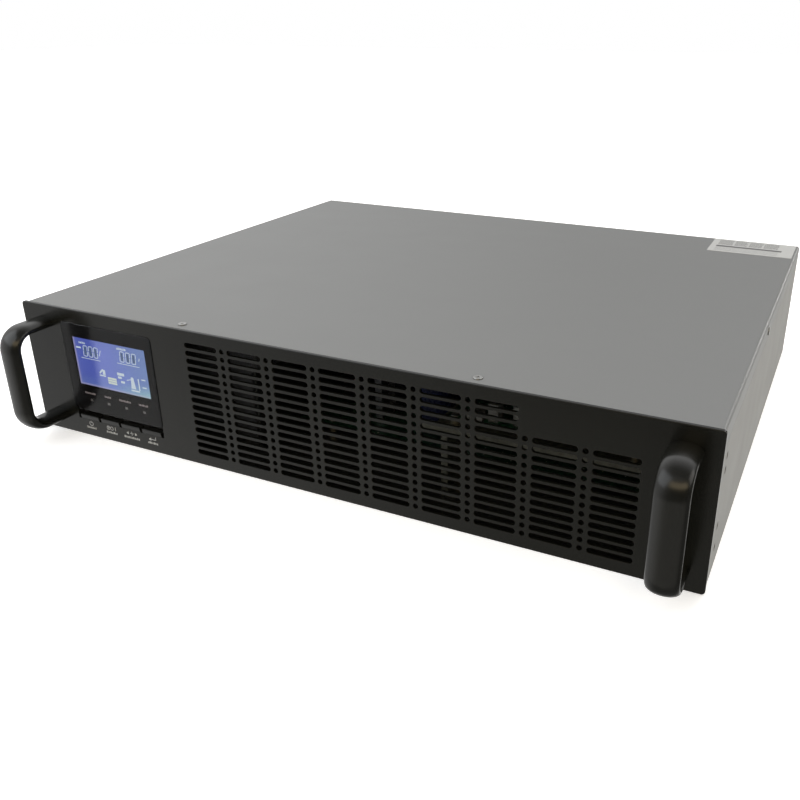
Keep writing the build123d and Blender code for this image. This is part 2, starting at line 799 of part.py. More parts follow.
with BuildPart() as display_bezel:
    # Frame inside the panel's window, flange behind the panel, guide plate behind the keys
    with BuildSketch(facing(panel_back)):
        with Locations(window_centre):
            RectangleRounded(*lens_size, lens_corner)
    extrude(amount=panel_back - mask_back)
    block((bezel_left, panel_back, bezel_low), (bezel_right, bezel_back, bezel_high))
    block((keys_left - key_pocket_side, panel_back, key_pocket_low),
          (keys_right + key_pocket_side, bezel_flange_back, lens_low), Mode.SUBTRACT)
    with BuildSketch(facing(bezel_back)):
        with Locations(lcd_centre):
            RectangleRounded(lcd_outer[0] + 2 * fit_gap, lcd_outer[1] + 2 * fit_gap, lcd_corner)
        with Locations(*lamp_places):
            Rectangle(lamp_width + fit_gap, lamp_height + fit_gap)
    extrude(amount=bezel_back - mask_back, mode=Mode.SUBTRACT)
    with BuildSketch(facing(bezel_back)):
        with Locations(*[(keys_left + key_pitch * (i + 0.5), (key_stem_low + key_stem_high) / 2)
                         for i in range(len(key_names))]):
            Rectangle(2 * (key_stem_half + stem_gap), key_stem_high - key_stem_low + 2 * stem_gap)
    extrude(amount=bezel_back - bezel_flange_back, mode=Mode.SUBTRACT)
    for stud in stud_places:
        bar_y(*stud, bezel_back, board_front, boss_radius)
        bar_y(*stud, panel_back, board_front, stud_hole, Mode.SUBTRACT)
display_bezel.part.label = "display_bezel"
export_step(display_bezel.part, "parts/display_bezel.step")

with BuildPart() as studs:
    for stud in stud_places:
        bar_y(*stud, panel_back, stud_back, stud_radius)
    bar_y(*ground_place, rear_plate_front - ground_root, ground_nut_back, ground_shoulder)
    bar_y(*ground_place, ground_nut_back, ground_nut_back + ground_pin, ground_radius)
studs.part.label = "studs"
export_step(studs.part, "parts/studs.step")

with BuildPart() as display_board:
    block((bezel_left + board_inset, board_front, bezel_low + 2 * board_inset),
          (bezel_right - board_inset, board_front + board_thick, bezel_high - board_inset))
    for stud in stud_places:
        bar_y(*stud, board_front, board_front + board_thick, stud_hole, Mode.SUBTRACT)
display_board.part.label = "display_board"
export_step(display_board.part, "parts/display_board.step")

for index, key_name in enumerate(key_names):
    key_x = keys_left + key_pitch * (index + 0.5)
    with BuildPart() as key:
        with BuildSketch(Plane.YZ.offset(key_x - key_width / 2)):
            with BuildLine():
                Polyline(
                    (front, key_low),
                    (front - key_proud, key_high - key_lip),
                    (front - key_proud, key_high),
                    (key_lip_front, key_high),
                    (key_lip_front, key_low),
                    close=True,
                )
            make_face()
        extrude(amount=key_width)
        fillet(key.edges().filter_by(Axis.X).group_by(Axis.Y)[0], key_edge)
        block((key_x - key_width / 2, key_lip_front, key_low - key_skirt),
              (key_x + key_width / 2, key_lip_back, key_high))
        block((key_x - key_stem_half, key_lip_back, key_stem_low),
              (key_x + key_stem_half, key_stem_back, key_stem_high))
    key.part.label = key_name
    export_step(key.part, f"parts/{key_name}.step")

switch_z = (key_stem_low + key_stem_high) / 2
with BuildPart() as tact_switches:
    for index in range(len(key_names)):
        switch_x = keys_left + key_pitch * (index + 0.5)
        block((switch_x - switch_half, switch_front + switch_button, switch_z - switch_half),
              (switch_x + switch_half, board_front, switch_z + switch_half))
        bar_y(switch_x, switch_z, switch_front, switch_front + switch_button, switch_button_radius)
tact_switches.part.label = "tact_switches"
export_step(tact_switches.part, "parts/tact_switches.step")

# ---------------------------------------------------------------- batteries and their wiring
battery_ys = [battery_first + i * battery_pitch for i in range(len(battery_names))]
battery_right = battery_left + battery_length
battery_top = battery_floor + battery_tall
tab_z = battery_floor + tab_height
tab_left = battery_left + tab_inset
tab_right = battery_right - tab_inset
battery_edge = 1.5
lid_seam = 9.0
seam_deep = 0.6

for battery_name, battery_y in zip(battery_names, battery_ys):
    face_y = battery_y + battery_deep
    with BuildPart() as battery:
        block((battery_left, battery_y, battery_floor), (battery_right, face_y, battery_top))
        fillet(battery.edges(), battery_edge)
        with BuildSketch(facing(face_y - lid_seam)):
            with Locations(((battery_left + battery_right) / 2, battery_floor + battery_tall / 2)):
                Rectangle(battery_length + 2 * cut_over, battery_tall + 2 * cut_over)
                Rectangle(battery_length - 2 * seam_deep, battery_tall - 2 * seam_deep, mode=Mode.SUBTRACT)
        extrude(amount=seam_deep, mode=Mode.SUBTRACT)
        for tab_x in (tab_left, tab_right):
            block((tab_x - tab_width / 2, face_y - cut_over, tab_z - tab_thick / 2),
                  (tab_x + tab_width / 2, face_y + tab_length, tab_z + tab_thick / 2))
    battery.part.label = battery_name
    export_step(battery.part, f"parts/{battery_name}.step")

lead_radius = 2.0
lead_bend = 7.0
lead_height = 75.0
lead_offset = 3.0
boot_top = tab_z + 6.0
boot_low = tab_z - 3.0
boot_half = 4.6
boot_front = 0.2
boot_back = 5.8
plug_x = -45.0
plug_top = 24.0
plug_half = 4.0
tab_y = [y + battery_deep + lead_offset for y in battery_ys]
far_lead_height = 81.0
lead_routes = [
    # Jumpers from one battery to the next, over the top
    [(tab_right, tab_y[0], boot_top), (tab_right, tab_y[0], lead_height),
     (tab_right, tab_y[1], lead_height), (tab_right, tab_y[1], boot_top)],
    [(tab_left, tab_y[1], boot_top), (tab_left, tab_y[1], lead_height),
     (tab_left, tab_y[2], lead_height), (tab_left, tab_y[2], boot_top)],
    # The two ends of the string, over the divider to the power board
    [(tab_left, tab_y[0], boot_top), (tab_left, tab_y[0], far_lead_height),
     (plug_x, tab_y[0], far_lead_height), (plug_x, tab_y[0], plug_top)],
    [(tab_right, tab_y[2], boot_top), (tab_right, tab_y[2], lead_height),
     (plug_x, tab_y[2], lead_height), (plug_x, tab_y[2], plug_top)],
]
with BuildPart() as battery_leads:
    for route in lead_routes:
        with BuildLine() as lead_line:
            FilletPolyline(*route, radius=lead_bend)
        with BuildSketch(Plane(origin=route[0], z_dir=(0, 0, 1))) as lead_section:
            Circle(lead_radius)
        sweep(lead_section.sketch, path=lead_line.wires()[0])
    for battery_y in battery_ys:
        face_y = battery_y + battery_deep
        for tab_x in (tab_left, tab_right):
            block((tab_x - boot_half, face_y + boot_front, boot_low),
                  (tab_x + boot_half, face_y + boot_back, boot_top))
            block((tab_x - tab_width / 2, face_y, tab_z - tab_thick / 2),
                  (tab_x + tab_width / 2, face_y + tab_length, tab_z + tab_thick / 2), Mode.SUBTRACT)
battery_leads.part.label = "battery_leads"
export_step(battery_leads.part, "parts/battery_leads.step")

strap_y = battery_ys[1] + battery_deep / 2
strap_half = 9.0
strap_low = battery_top + 0.2
strap_high = strap_low + sheet
strap_foot = 14.0
strap_wall_top = wall_top - 4.0
with BuildPart() as battery_strap:
    block((-tray_inner, strap_y - strap_half, strap_low), (divider_x, strap_y + strap_half, strap_high))
    block((-tray_inner, strap_y - strap_half, strap_low),
          (-tray_inner + sheet, strap_y + strap_half, strap_wall_top))
    block((divider_x - sheet, strap_y - strap_half, strap_high - strap_foot),
          (divider_x, strap_y + strap_half, strap_high))
battery_strap.part.label = "battery_strap"
export_step(battery_strap.part, "parts/battery_strap.step")

divider_front = battery_ys[0]
divider_back = tab_y[2] - 10.0
divider_top = 76.0
divider_foot = 12.0
with BuildPart() as divider_wall:
    block((divider_x, divider_front, floor_top), (divider_x + sheet, divider_back, divider_top))
    block((divider_x, divider_front, floor_top), (divider_x + divider_foot, divider_back, floor_top + sheet))
divider_wall.part.label = "divider_wall"
export_step(divider_wall.part, "parts/divider_wall.step")

# ---------------------------------------------------------------- power board and what stands on it
standoff_radius = 3.2
standoff_hole = 5.0
standoff_places = [(x, y) for x in (-34.0, 104.0, 205.0) for y in (-110.0, 122.0)]
shelf_left = 66.0
shelf_right = 186.0
shelf_lip_left = 58.0
shelf_front = front + 18.0
shelf_back = power_front - 6.0
shelf_low = 47.4
shelf_top = 51.0
spacer_height = 3.0
charger_margin = 6.0
charger_low = shelf_top + spacer_height
charger_top = charger_low + board_thick
charger_front = shelf_front + 4.0
charger_back = shelf_back - 2.0
spacer_inset = 4.0
charger_spacers = [
    (x, y)
    for x in (shelf_left + charger_margin + spacer_inset, shelf_right - charger_margin - spacer_inset)
    for y in (charger_front + spacer_inset, charger_back - spacer_inset)
]

with BuildPart() as power_board:
    block((power_left, power_front, board_low), (power_right, power_back, board_top))
    for place in standoff_places:
        bar_z(*place, board_low, board_top, screw_hole, Mode.SUBTRACT)
power_board.part.label = "power_board"
export_step(power_board.part, "parts/power_board.step")

with BuildPart() as standoffs:
    for place in standoff_places:
        bar_z(*place, floor_top, board_low, standoff_radius)
        bar_z(*place, board_low - standoff_hole, board_low, screw_hole, Mode.SUBTRACT)
    for place in charger_spacers:
        bar_z(*place, shelf_top, charger_low, standoff_radius)
        bar_z(*place, shelf_top, charger_low, screw_hole, Mode.SUBTRACT)
standoffs.part.label = "standoffs"
export_step(standoffs.part, "parts/standoffs.step")

sink_front = -95.0
sink_length = 150.0
sink_base = 5.0
sink_height = 56.0
sink_fin = 28.0
sink_fin_thick = 1.6
sink_fin_pitch = 6.4
sink_fins = 8
sink_left_x = -10.0
sink_right_x = 55.0
with BuildPart() as heat_sinks:
    for base_x, side in ((sink_left_x, -1), (sink_right_x, 1)):
        block((base_x, sink_front, board_top), (base_x + sink_base, sink_front + sink_length,
              board_top + sink_height))
        root_x = base_x if side < 0 else base_x + sink_base
        for fin in range(sink_fins):
            fin_z = board_top + sink_height - sink_fin_thick - fin * sink_fin_pitch
            block((root_x, sink_front, fin_z), (root_x + side * sink_fin, sink_front + sink_length,
                  fin_z + sink_fin_thick))
heat_sinks.part.label = "heat_sinks"
export_step(heat_sinks.part, "parts/heat_sinks.step")

package_width = 16.0
package_thick = 5.0
package_low = board_top + 7.0
package_tall = 21.0
package_first = sink_front + 17.0
package_pitch = 29.0
packages = 5
leg_pitch = 5.4
leg_inset = 2.0
leg_thick = 0.6
with BuildPart() as power_transistors:
    for face_x in (sink_left_x + sink_base, sink_right_x - package_thick):
        for index in range(packages):
            middle_y = package_first + index * package_pitch
            block((face_x, middle_y - package_width / 2, package_low),
                  (face_x + package_thick, middle_y + package_width / 2, package_low + package_tall))
            for leg in (-1, 0, 1):
                leg_y = middle_y + leg * leg_pitch
                block((face_x + leg_inset, leg_y - leg_thick, board_top),
                      (face_x + leg_inset + leg_thick, leg_y + leg_thick, package_low))
power_transistors.part.label = "power_transistors"
export_step(power_transistors.part, "parts/power_transistors.step")

capacitor_radius = 12.5
capacitor_height = 42.0
capacitor_edge = 1.2
capacitor_x = (sink_left_x + sink_base + sink_right_x) / 2
with BuildPart() as bulk_capacitors:
    for index in range(packages):
        capacitor_y = package_first + index * package_pitch
        with Locations((capacitor_x, capacitor_y, board_top + capacitor_height / 2)):
            Cylinder(capacitor_radius, capacitor_height)
    fillet(bulk_capacitors.faces().filter_by(Axis.Z).group_by(Axis.Z)[-1].edges(), capacitor_edge)
bulk_capacitors.part.label = "bulk_capacitors"
export_step(bulk_capacitors.part, "parts/bulk_capacitors.step")

choke_places = ((116.0, -84.0), (168.0, -84.0))
choke_major = 15.0
choke_minor = 6.0
choke_turns = 16
wire_radius = 0.9
turn_radius = choke_minor + wire_radius + lap
choke_lift = 0.3
choke_z = board_top + choke_major + choke_minor + 2 * wire_radius + choke_lift
with BuildPart() as choke_cores:
    for choke_x, choke_y in choke_places:
        with Locations(Location((choke_x, choke_y, choke_z), (90, 0, 0))):
            Torus(choke_major, choke_minor)
choke_cores.part.label = "choke_cores"
export_step(choke_cores.part, "parts/choke_cores.step")

with BuildPart() as choke_windings:
    for choke_x, choke_y in choke_places:
        for turn in range(choke_turns):
            angle = 2 * math.pi * turn / choke_turns
            turn_x = choke_x + choke_major * math.cos(angle)
            turn_z = choke_z + choke_major * math.sin(angle)
            with Locations(Location((turn_x, choke_y, turn_z), (0, -math.degrees(angle), 0))):
                Torus(turn_radius, wire_radius)
choke_windings.part.label = "choke_windings"
export_step(choke_windings.part, "parts/choke_windings.step")

core_x = 146.0
core_y = 0.0
core_width = 70.0
core_deep = 34.0
core_tall = 58.0
core_leg = 12.0
core_window = 12.0
coil_over = 11.0
coil_gap = 0.4
coil_corner = 5.0
core_half = core_width / 2
leg_half = core_half - core_leg - core_window
with BuildPart() as transformer_core:
    block((core_x - core_half, core_y - core_deep / 2, board_top),
          (core_x + core_half, core_y + core_deep / 2, board_top + core_tall))
    for side in (-1, 1):
        inner = core_x + side * leg_half
        block((inner, core_y - core_deep / 2, board_top + core_leg),
              (inner + side * core_window, core_y + core_deep / 2, board_top + core_tall - core_leg),
              Mode.SUBTRACT)
transformer_core.part.label = "transformer_core"
export_step(transformer_core.part, "parts/transformer_core.step")

coil_half = leg_half + core_window - coil_gap
coil_deep = core_deep / 2 + coil_over
with BuildPart() as transformer_coil:
    with BuildSketch(Plane.XY.offset(board_top + core_leg + coil_gap)):
        with Locations((core_x, core_y)):
            RectangleRounded(2 * coil_half, 2 * coil_deep, coil_corner)
            Rectangle(2 * leg_half + coil_gap, core_deep + coil_gap, mode=Mode.SUBTRACT)
    extrude(amount=core_tall - 2 * core_leg - 2 * coil_gap)
transformer_coil.part.label = "transformer_coil"
export_step(transformer_coil.part, "parts/transformer_coil.step")

relay_size = (16.0, 20.0, 22.0)
relay_x = 196.0
relay_first = -40.0
relay_pitch = 27.0
relay_count = 5
relay_edge = 0.6
relay_places = [
    (relay_x, relay_first + index * relay_pitch, board_top + relay_size[2] / 2)
    for index in range(relay_count)
]
with BuildPart() as relays:
    with Locations(*relay_places):
        Box(*relay_size)
    fillet(relays.faces().filter_by(Axis.Z).group_by(Axis.Z)[-1].edges(), relay_edge)
relays.part.label = "relays"
export_step(relays.part, "parts/relays.step")

control_x = -51.0
control_front = -46.0
control_back = 60.0
header_height = 2.5
control_top = 80.0
ribbon_low = 58.0
ribbon_high = 72.0
ribbon_thick = 0.9
ribbon_x = -54.2
ribbon_y = battery_first - 5.0
ribbon_bend = 3.5
header_deep = 6.0
header_over = 1.5
header_side = 1.2
header_inset = 4.0
display_header_x = -120.0
header_half = 3.2
display_board_back = board_front + board_thick
with BuildPart() as control_board:
    block((control_x, control_front, board_top + header_height),
          (control_x + board_thick, control_back, control_top))
control_board.part.label = "control_board"
export_step(control_board.part, "parts/control_board.step")

with BuildPart() as board_headers:
    # Display board end, control board end, the row under the control board, and the two battery plugs
    block((display_header_x - header_half, display_board_back, ribbon_low - header_over),
          (display_header_x + header_half, display_board_back + header_deep, ribbon_high + header_over))
    block((control_x - 2 * header_half, control_front - header_deep, ribbon_low - header_over),
          (control_x, control_front + header_deep, ribbon_high + header_over))
    block((control_x - header_side, control_front + header_deep + header_inset, board_top),
          (control_x + board_thick + header_side, control_back - header_inset, board_top + header_height))
    for plug_y in (tab_y[0], tab_y[2]):
        plug_shift = 0 if plug_y < power_back - plug_half else power_back - plug_half - plug_y
        block((plug_x - plug_half, plug_y - plug_half + plug_shift, board_top),
              (plug_x + plug_half, plug_y + plug_half, plug_top))
board_headers.part.label = "board_headers"
export_step(board_headers.part, "parts/board_headers.step")

with BuildPart() as ribbon_cable:
    with BuildSketch(Plane.XY.offset(ribbon_low)):
        with BuildLine() as ribbon_line:
            FilletPolyline(
                (display_header_x, display_board_back + header_deep),
                (display_header_x, ribbon_y),
                (ribbon_x, ribbon_y),
                (ribbon_x, control_front - header_deep),
                radius=ribbon_bend,
            )
        trace(ribbon_line.wires()[0], line_width=ribbon_thick)
    extrude(amount=ribbon_high - ribbon_low)
ribbon_cable.part.label = "ribbon_cable"
export_step(ribbon_cable.part, "parts/ribbon_cable.step")

# ---------------------------------------------------------------- charger on its shelf behind the vents
leg_flange = 4.0
foot_length = 9.0
leg_front = shelf_front + 10.0
with BuildPart() as charger_shelf:
    block((shelf_left, shelf_front, shelf_top - sheet), (shelf_right, shelf_back, shelf_top))
    block((shelf_lip_left, shelf_front, shelf_low), (shelf_right, shelf_front + sheet, shelf_top))
    for outer, side in ((shelf_left, 1), (shelf_right, -1)):
        block((outer, leg_front, floor_top), (outer + side * sheet, shelf_back, shelf_top))
        block((outer, leg_front, floor_top),
              (outer + side * leg_flange, leg_front + sheet, shelf_top - sheet))
        block((outer, leg_front, floor_top), (outer + side * foot_length, shelf_back, floor_top + sheet))
charger_shelf.part.label = "charger_shelf"
export_step(charger_shelf.part, "parts/charger_shelf.step")

with BuildPart() as charger_board:
    block((shelf_left + charger_margin, charger_front, charger_low),
          (shelf_right - charger_margin, charger_back, charger_top))
    for place in charger_spacers:
        bar_z(*place, charger_low, charger_top, screw_hole, Mode.SUBTRACT)
charger_board.part.label = "charger_board"
export_step(charger_board.part, "parts/charger_board.step")

relay_block = (5.5, 9.0, 10.5)
relay_block_place = (98.0, shelf_front + 12.5)
coil_block = (20.0, 14.0, 9.0)
coil_block_place = (158.0, shelf_front + 15.0)
terminal_block = (9.0, 6.0, 5.0)
terminal_place = (88.0, shelf_front + 9.0)
small_can_x = (112.0, 124.0, 136.0)
small_can_y = shelf_front + 13.0
small_can_radius = 4.2
small_can_height = 11.0
with BuildPart() as charger_parts:
    for size, place in (
        (relay_block, relay_block_place),
        (coil_block, coil_block_place),
        (terminal_block, terminal_place),
    ):
        with Locations((*place, charger_top + size[2] / 2)):
            Box(*size)
    for can_x in small_can_x:
        bar_z(can_x, small_can_y, charger_top, charger_top + small_can_height, small_can_radius)
charger_parts.part.label = "charger_parts"
export_step(charger_parts.part, "parts/charger_parts.step")

# ---------------------------------------------------------------- fasteners, guards and label
def round_head(shank_length):
    """Screw along -Z: low round cross-slotted head above the origin, shank below it."""
    with BuildPart() as screw:
        with Locations((0, 0, screw_head_thick / 2)):
            Cylinder(screw_head, screw_head_thick)
        fillet(screw.faces().sort_by(Axis.Z)[-1].edges(), screw_head_thick / 2)
        with Locations((0, 0, -shank_length / 2)):
            Cylinder(screw_shank, shank_length)
        with Locations((0, 0, screw_head_thick)):
            Box(screw_head, screw_slot, screw_head_thick, mode=Mode.SUBTRACT)
            Box(screw_slot, screw_head, screw_head_thick, mode=Mode.SUBTRACT)
    return screw.part


slot_screws = [(slot_cover_place[0] + s * slot_cover_hole, slot_cover_place[1]) for s in (-1, 1)]
corner_screws = [(s * rear_screw_x, z) for s in (-1, 1) for z in rear_screw_z]
case_screw = round_head(case_screw_length)
with BuildPart() as case_screws:
    for side in (-1, 1):
        with Locations(Location((side * rail_screw_x, rail_y, cover_top))):
            add(case_screw)
        with Locations(Location((side * cover_half, side_screw_y, side_screw_z), (0, side * 90, 0))):
            add(case_screw)
    with Locations(*[Location((x, back, lip_screw_z), (-90, 0, 0)) for x in lip_screw_x]):
        add(case_screw)
    with Locations(*[Location((x, rear_plate_back, z), (-90, 0, 0)) for x, z in corner_screws]):
        add(case_screw)
    with Locations(*[Location((x, rear_plate_back + sheet, z), (-90, 0, 0)) for x, z in slot_screws]):
        add(case_screw)
case_screws.part.label = "case_screws"
export_step(case_screws.part, "parts/case_screws.step")

board_screw = round_head(board_screw_length)
with BuildPart() as board_screws:
    with Locations(*[(x, y, board_top) for x, y in standoff_places]):
        add(board_screw)
    with Locations(*[(x, y, charger_top) for x, y in charger_spacers]):
        add(board_screw)
board_screws.part.label = "board_screws"
export_step(board_screws.part, "parts/board_screws.step")

ear_nut = 3.6
ear_nut_thick = 2.5
small_nut = 3.0
small_nut_thick = 2.0
with BuildPart() as nuts:
    for side in (-1, 1):
        for hole_z in ear_z:
            bar_x(ear_y, hole_z, side * wall_inner, side * (wall_inner - ear_nut_thick), ear_nut)
            bar_x(ear_y, hole_z, side * wall_inner, side * (wall_inner - ear_nut_thick), ear_hole,
                  Mode.SUBTRACT)
        bar_x(side_screw_y, side_screw_z, side * tray_inner, side * (tray_inner - small_nut_thick), small_nut)
        bar_x(side_screw_y, side_screw_z, side * tray_inner, side * (tray_inner - small_nut_thick),
              screw_hole, Mode.SUBTRACT)
        bar_z(side * rail_screw_x, rail_y, rail_top - sheet - small_nut_thick, rail_top - sheet, small_nut)
        bar_z(side * rail_screw_x, rail_y, rail_top - sheet - small_nut_thick, rail_top - sheet, screw_hole,
              Mode.SUBTRACT)
    for stud in stud_places:
        with BuildSketch(facing(display_board_back + nut_thick)) as stud_nut:
            with Locations(stud):
                RegularPolygon(nut_radius, 6)
                Circle(stud_hole, mode=Mode.SUBTRACT)
        extrude(stud_nut.sketch, amount=nut_thick)
    for x, z in [(x, lip_screw_z) for x in lip_screw_x] + slot_screws:
        bar_y(x, z, rear_plate_front - small_nut_thick, rear_plate_front, small_nut)
        bar_y(x, z, rear_plate_front - small_nut_thick, rear_plate_front, screw_hole, Mode.SUBTRACT)
    for x, z in corner_screws:
        bar_y(x, z, rear_flange_front - small_nut_thick, rear_flange_front, small_nut)
        bar_y(x, z, rear_flange_front - small_nut_thick, rear_flange_front, screw_hole, Mode.SUBTRACT)
    with BuildSketch(facing(ground_nut_back)) as ground_nut:
        with Locations(ground_place):
            RegularPolygon(2 * ground_shoulder, 6)
            Circle(ground_shoulder + fit_gap, mode=Mode.SUBTRACT)
    extrude(ground_nut.sketch, amount=ground_nut_thick)
nuts.part.label = "nuts"
export_step(nuts.part, "parts/nuts.step")

guard_rings = (10.0, 18.0, 26.0, 34.0)
guard_wire = 1.8
guard_loop = 4.6
guard_spokes = 4
guard_angle = 45
guard_reach = math.hypot(fan_hole_offset, fan_hole_offset)
with BuildPart() as fan_guards:
    with BuildSketch(facing(rear_plate_back + guard_thick)):
        for centre_x in fan_x:
            with Locations((centre_x, fan_z)):
                for ring in guard_rings:
                    with BuildSketch(mode=Mode.PRIVATE) as loop:
                        Circle(ring + guard_wire / 2)
                        Circle(ring - guard_wire / 2, mode=Mode.SUBTRACT)
                    add(loop.sketch)
                with PolarLocations(
                    (guard_rings[0] + guard_reach - guard_loop) / 2, guard_spokes, start_angle=guard_angle
                ):
                    Rectangle(guard_reach - guard_loop - guard_rings[0] + cut_over, guard_wire)
        with Locations(*fan_corners):
            Circle(guard_loop)
            Circle(fan_hole, mode=Mode.SUBTRACT)
    extrude(amount=guard_thick)
fan_guards.part.label = "fan_guards"
export_step(fan_guards.part, "parts/fan_guards.step")

fan_screw_shank = fan_hole - lap
fan_screw_length = 12.0
fan_screw_head = 3.8
fan_screw_head_thick = 2.2
fan_screw_edge = 0.9
with BuildPart() as fan_screws:
    for x, z in fan_corners:
        head_at = rear_plate_back + guard_thick
        bar_y(x, z, head_at - fan_screw_length, head_at, fan_screw_shank)
        bar_y(x, z, head_at, head_at + fan_screw_head_thick, fan_screw_head)
    fillet(fan_screws.faces().filter_by(Axis.Y).group_by(Axis.Y)[-1].edges(), fan_screw_edge)
fan_screws.part.label = "fan_screws"
export_step(fan_screws.part, "parts/fan_screws.step")

label_left = 154.5
label_right = 216.8
label_front = front + 318.5
label_back = back - 0.4
label_thick = 0.15
label_corner = 1.5
with BuildPart() as top_label:
    block((label_left, label_front, cover_top), (label_right, label_back, cover_top + label_thick))
    fillet(top_label.edges().filter_by(Axis.Z), label_corner)
top_label.part.label = "top_label"
export_step(top_label.part, "parts/top_label.step")
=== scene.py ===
import math

import bmesh
import bpy
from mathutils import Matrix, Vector


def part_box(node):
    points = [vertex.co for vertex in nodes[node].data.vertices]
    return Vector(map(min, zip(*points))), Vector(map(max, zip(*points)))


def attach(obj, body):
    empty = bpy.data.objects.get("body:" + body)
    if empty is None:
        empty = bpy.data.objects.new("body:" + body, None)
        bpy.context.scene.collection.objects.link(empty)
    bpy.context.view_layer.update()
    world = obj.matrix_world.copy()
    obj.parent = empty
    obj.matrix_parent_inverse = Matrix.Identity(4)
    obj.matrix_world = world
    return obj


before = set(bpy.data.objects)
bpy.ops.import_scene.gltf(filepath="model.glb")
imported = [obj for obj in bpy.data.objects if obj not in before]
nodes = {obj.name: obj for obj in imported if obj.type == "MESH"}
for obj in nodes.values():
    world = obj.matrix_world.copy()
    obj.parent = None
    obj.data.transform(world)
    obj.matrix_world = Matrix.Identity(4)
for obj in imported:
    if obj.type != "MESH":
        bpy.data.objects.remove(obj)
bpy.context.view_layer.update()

# ---------------------------------------------------------------- driving dimensions
# Places and lengths are in metres, and values marked so in mm.
mm = 0.001
panel_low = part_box("front_panel")[0]
lcd_low, lcd_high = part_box("lcd_panel")
panel_face = panel_low.y
panel_foot = Vector((0.0, panel_low.y, panel_low.z))
keys = ["power_on_key", "power_off_key", "scroll_key", "enter_key"]

# Camera, measured from the middle of the front panel's lower edge; the turn is in degrees
camera_offset = Vector((254.37, -353.10, 256.09)) * mm
camera_turn = (66.6513, 0.1285, 25.4113)
camera_lens = 38.29
camera_sensor = 36.0
camera_shift = (-0.0649, -0.0227)
camera_near = 0.01

# Words as plain blocks: letter widths and spacing as parts of the letter height
ink_thick = 0.02 * mm
word_letters = (0.62, 0.48, 0.70, 0.30, 0.58, 0.66, 0.42, 0.74, 0.52, 0.36)
letter_gap = 0.26
letter_drop = 0.12
word_margin = 0.3

# Words under the keys and over the lamps, in mm
key_word_drop = 4.4
key_word_height = 1.5
key_word_widths = (8.6, 9.3, 13.6, 8.7)
lamp_inset = 1.25
lamp_pitch = 15.0
lamp_word_rise = 4.15
lamp_word_height = 1.4
lamp_word_widths = (9.3, 5.4, 10.3, 7.5)

# Key icons, in mm from the icon's middle: a bar is its centre, width and height
key_icon_drop = 1.4
icon_line = 0.45
icon_radius = 1.5
ring_angles = (120, 420)
on_stem = (0.0, 1.125, icon_line, 1.65)
off_rings = (-2.6, 0.4)
off_ring_radius = 1.2
off_stem = (3.4, 0.1, icon_line, 2.7)
off_slash = ((-3.6, -1.5), (-1.6, 1.5))
arrow_tip = 4.6
arrow_back = 2.7
arrow_half = 1.1
plus_size = 3.0
enter_line = (0.4, -0.5, 4.0, icon_line)
enter_tail = (2.4, 0.5, icon_line, 2.0)
enter_head = [(-3.4, -0.5), (-1.5, 0.7), (-1.5, -1.7)]

# Display contents, in mm from the display's lower left corner: a digit group is its first digit's
# place, pitch and height, a stroke is its two ends and its width, and a word is its centre, width,
# height and first letter
group_digits = 3
digit_width = 3.2
digit_groups = ((11.6, 26.2, 4.4, 7.0), (42.6, 27.3, 4.8, 6.8))
segment_width = 0.16
segment_inset = 0.45
unlit_size = (1.7, 5.2)
underlines = ((15.2, 21.2, 16.3, 0.4), (47.0, 22.5, 18.4, 0.4))
small_words = ((9.6, 31.6, 5.2, 1.4, 1), (43.0, 32.5, 7.6, 1.6, 5))
unit_marks = (((23.3, 24.5), (24.8, 28.5), 0.5), ((56.4, 26.5), (57.0, 28.5), 0.5))
source_mark = (6.0, 27.9, 4.0, 1.1)
house_floor = (23.3, 11.3, 5.4, 0.9)
house_roof = ((21.0, 12.7), (24.2, 15.7), 1.1)
house_wall = (24.8, 13.8, 2.2, 3.4)
charger_parts = ((39.1, 14.9, 5.8, 1.9), (38.0, 12.6, 3.0, 1.5), (40.0, 9.7, 3.2, 1.5))
charger_lead = ((43.6, 11.7), (48.8, 13.3), 0.5)
level_column = [(46.6, 6.7), (50.4, 6.7), (49.4, 14.5), (47.4, 14.5)]
level_marks = ((53.4, 10.3, 0.9, 8.0), (49.8, 5.5, 7.0, 1.0), (57.7, 14.3, 3.2, 0.8), (57.7, 9.0, 3.2, 0.8))
gauge_x = 31.0
gauge_heights = (7.3, 8.9, 10.5)
gauge_size = (7.4, 1.3)

# Sticker contents, in mm from the sticker's rear left corner
sticker_rows = 6
sticker_first_row = 4.0
sticker_row_pitch = 2.7
sticker_first_word = 10.5
sticker_word_pitch = 11.5
sticker_word_height = 1.7
sticker_word_widths = (10.8, 8.8, 9.8, 10.8)
sticker_lines = 4
sticker_line_x = 28.0
sticker_last_line = 37.1
sticker_line_pitch = 3.0
sticker_line_size = (47.0, 0.35)
sticker_strip = (29.0, -23.5, 49.0, 4.4)

# Inner faces of the cover and of the case, which get painted shade, in mm: half width, low, high and rear
# limits
cover_inside = (218.6, 70.0, 86.6, 178.9)
case_inside = (218.6, 0.6, 86.0, 178.2)
# painted shade: the dark colour painted on the inner faces
painted_inside_shade = (0.020, 0.020, 0.019, 1.0)

# Shading: edges get painted wear and a painted highlight where their rounded normal and their straight one
# differ, smears are finer than blotches by a ratio, and a wave texture has 3.18 bands to a unit at scale 1
bevel_samples = 4
full_wear_and_highlight = 0.75
no_wear_or_highlight = 0.97
smear_ratio = 7
bands_to_a_unit = 3.18

# Circuit boards: features to the metre, where they end, and the traces' depth in mm
traces_to_a_metre = 260.0
trace_edge = (0.42, 0.5)
trace_depth = 0.04
pads_to_a_metre = 210.0
pad_edge = (0.12, 0.16)
tin = (0.55, 0.54, 0.50, 1.0)

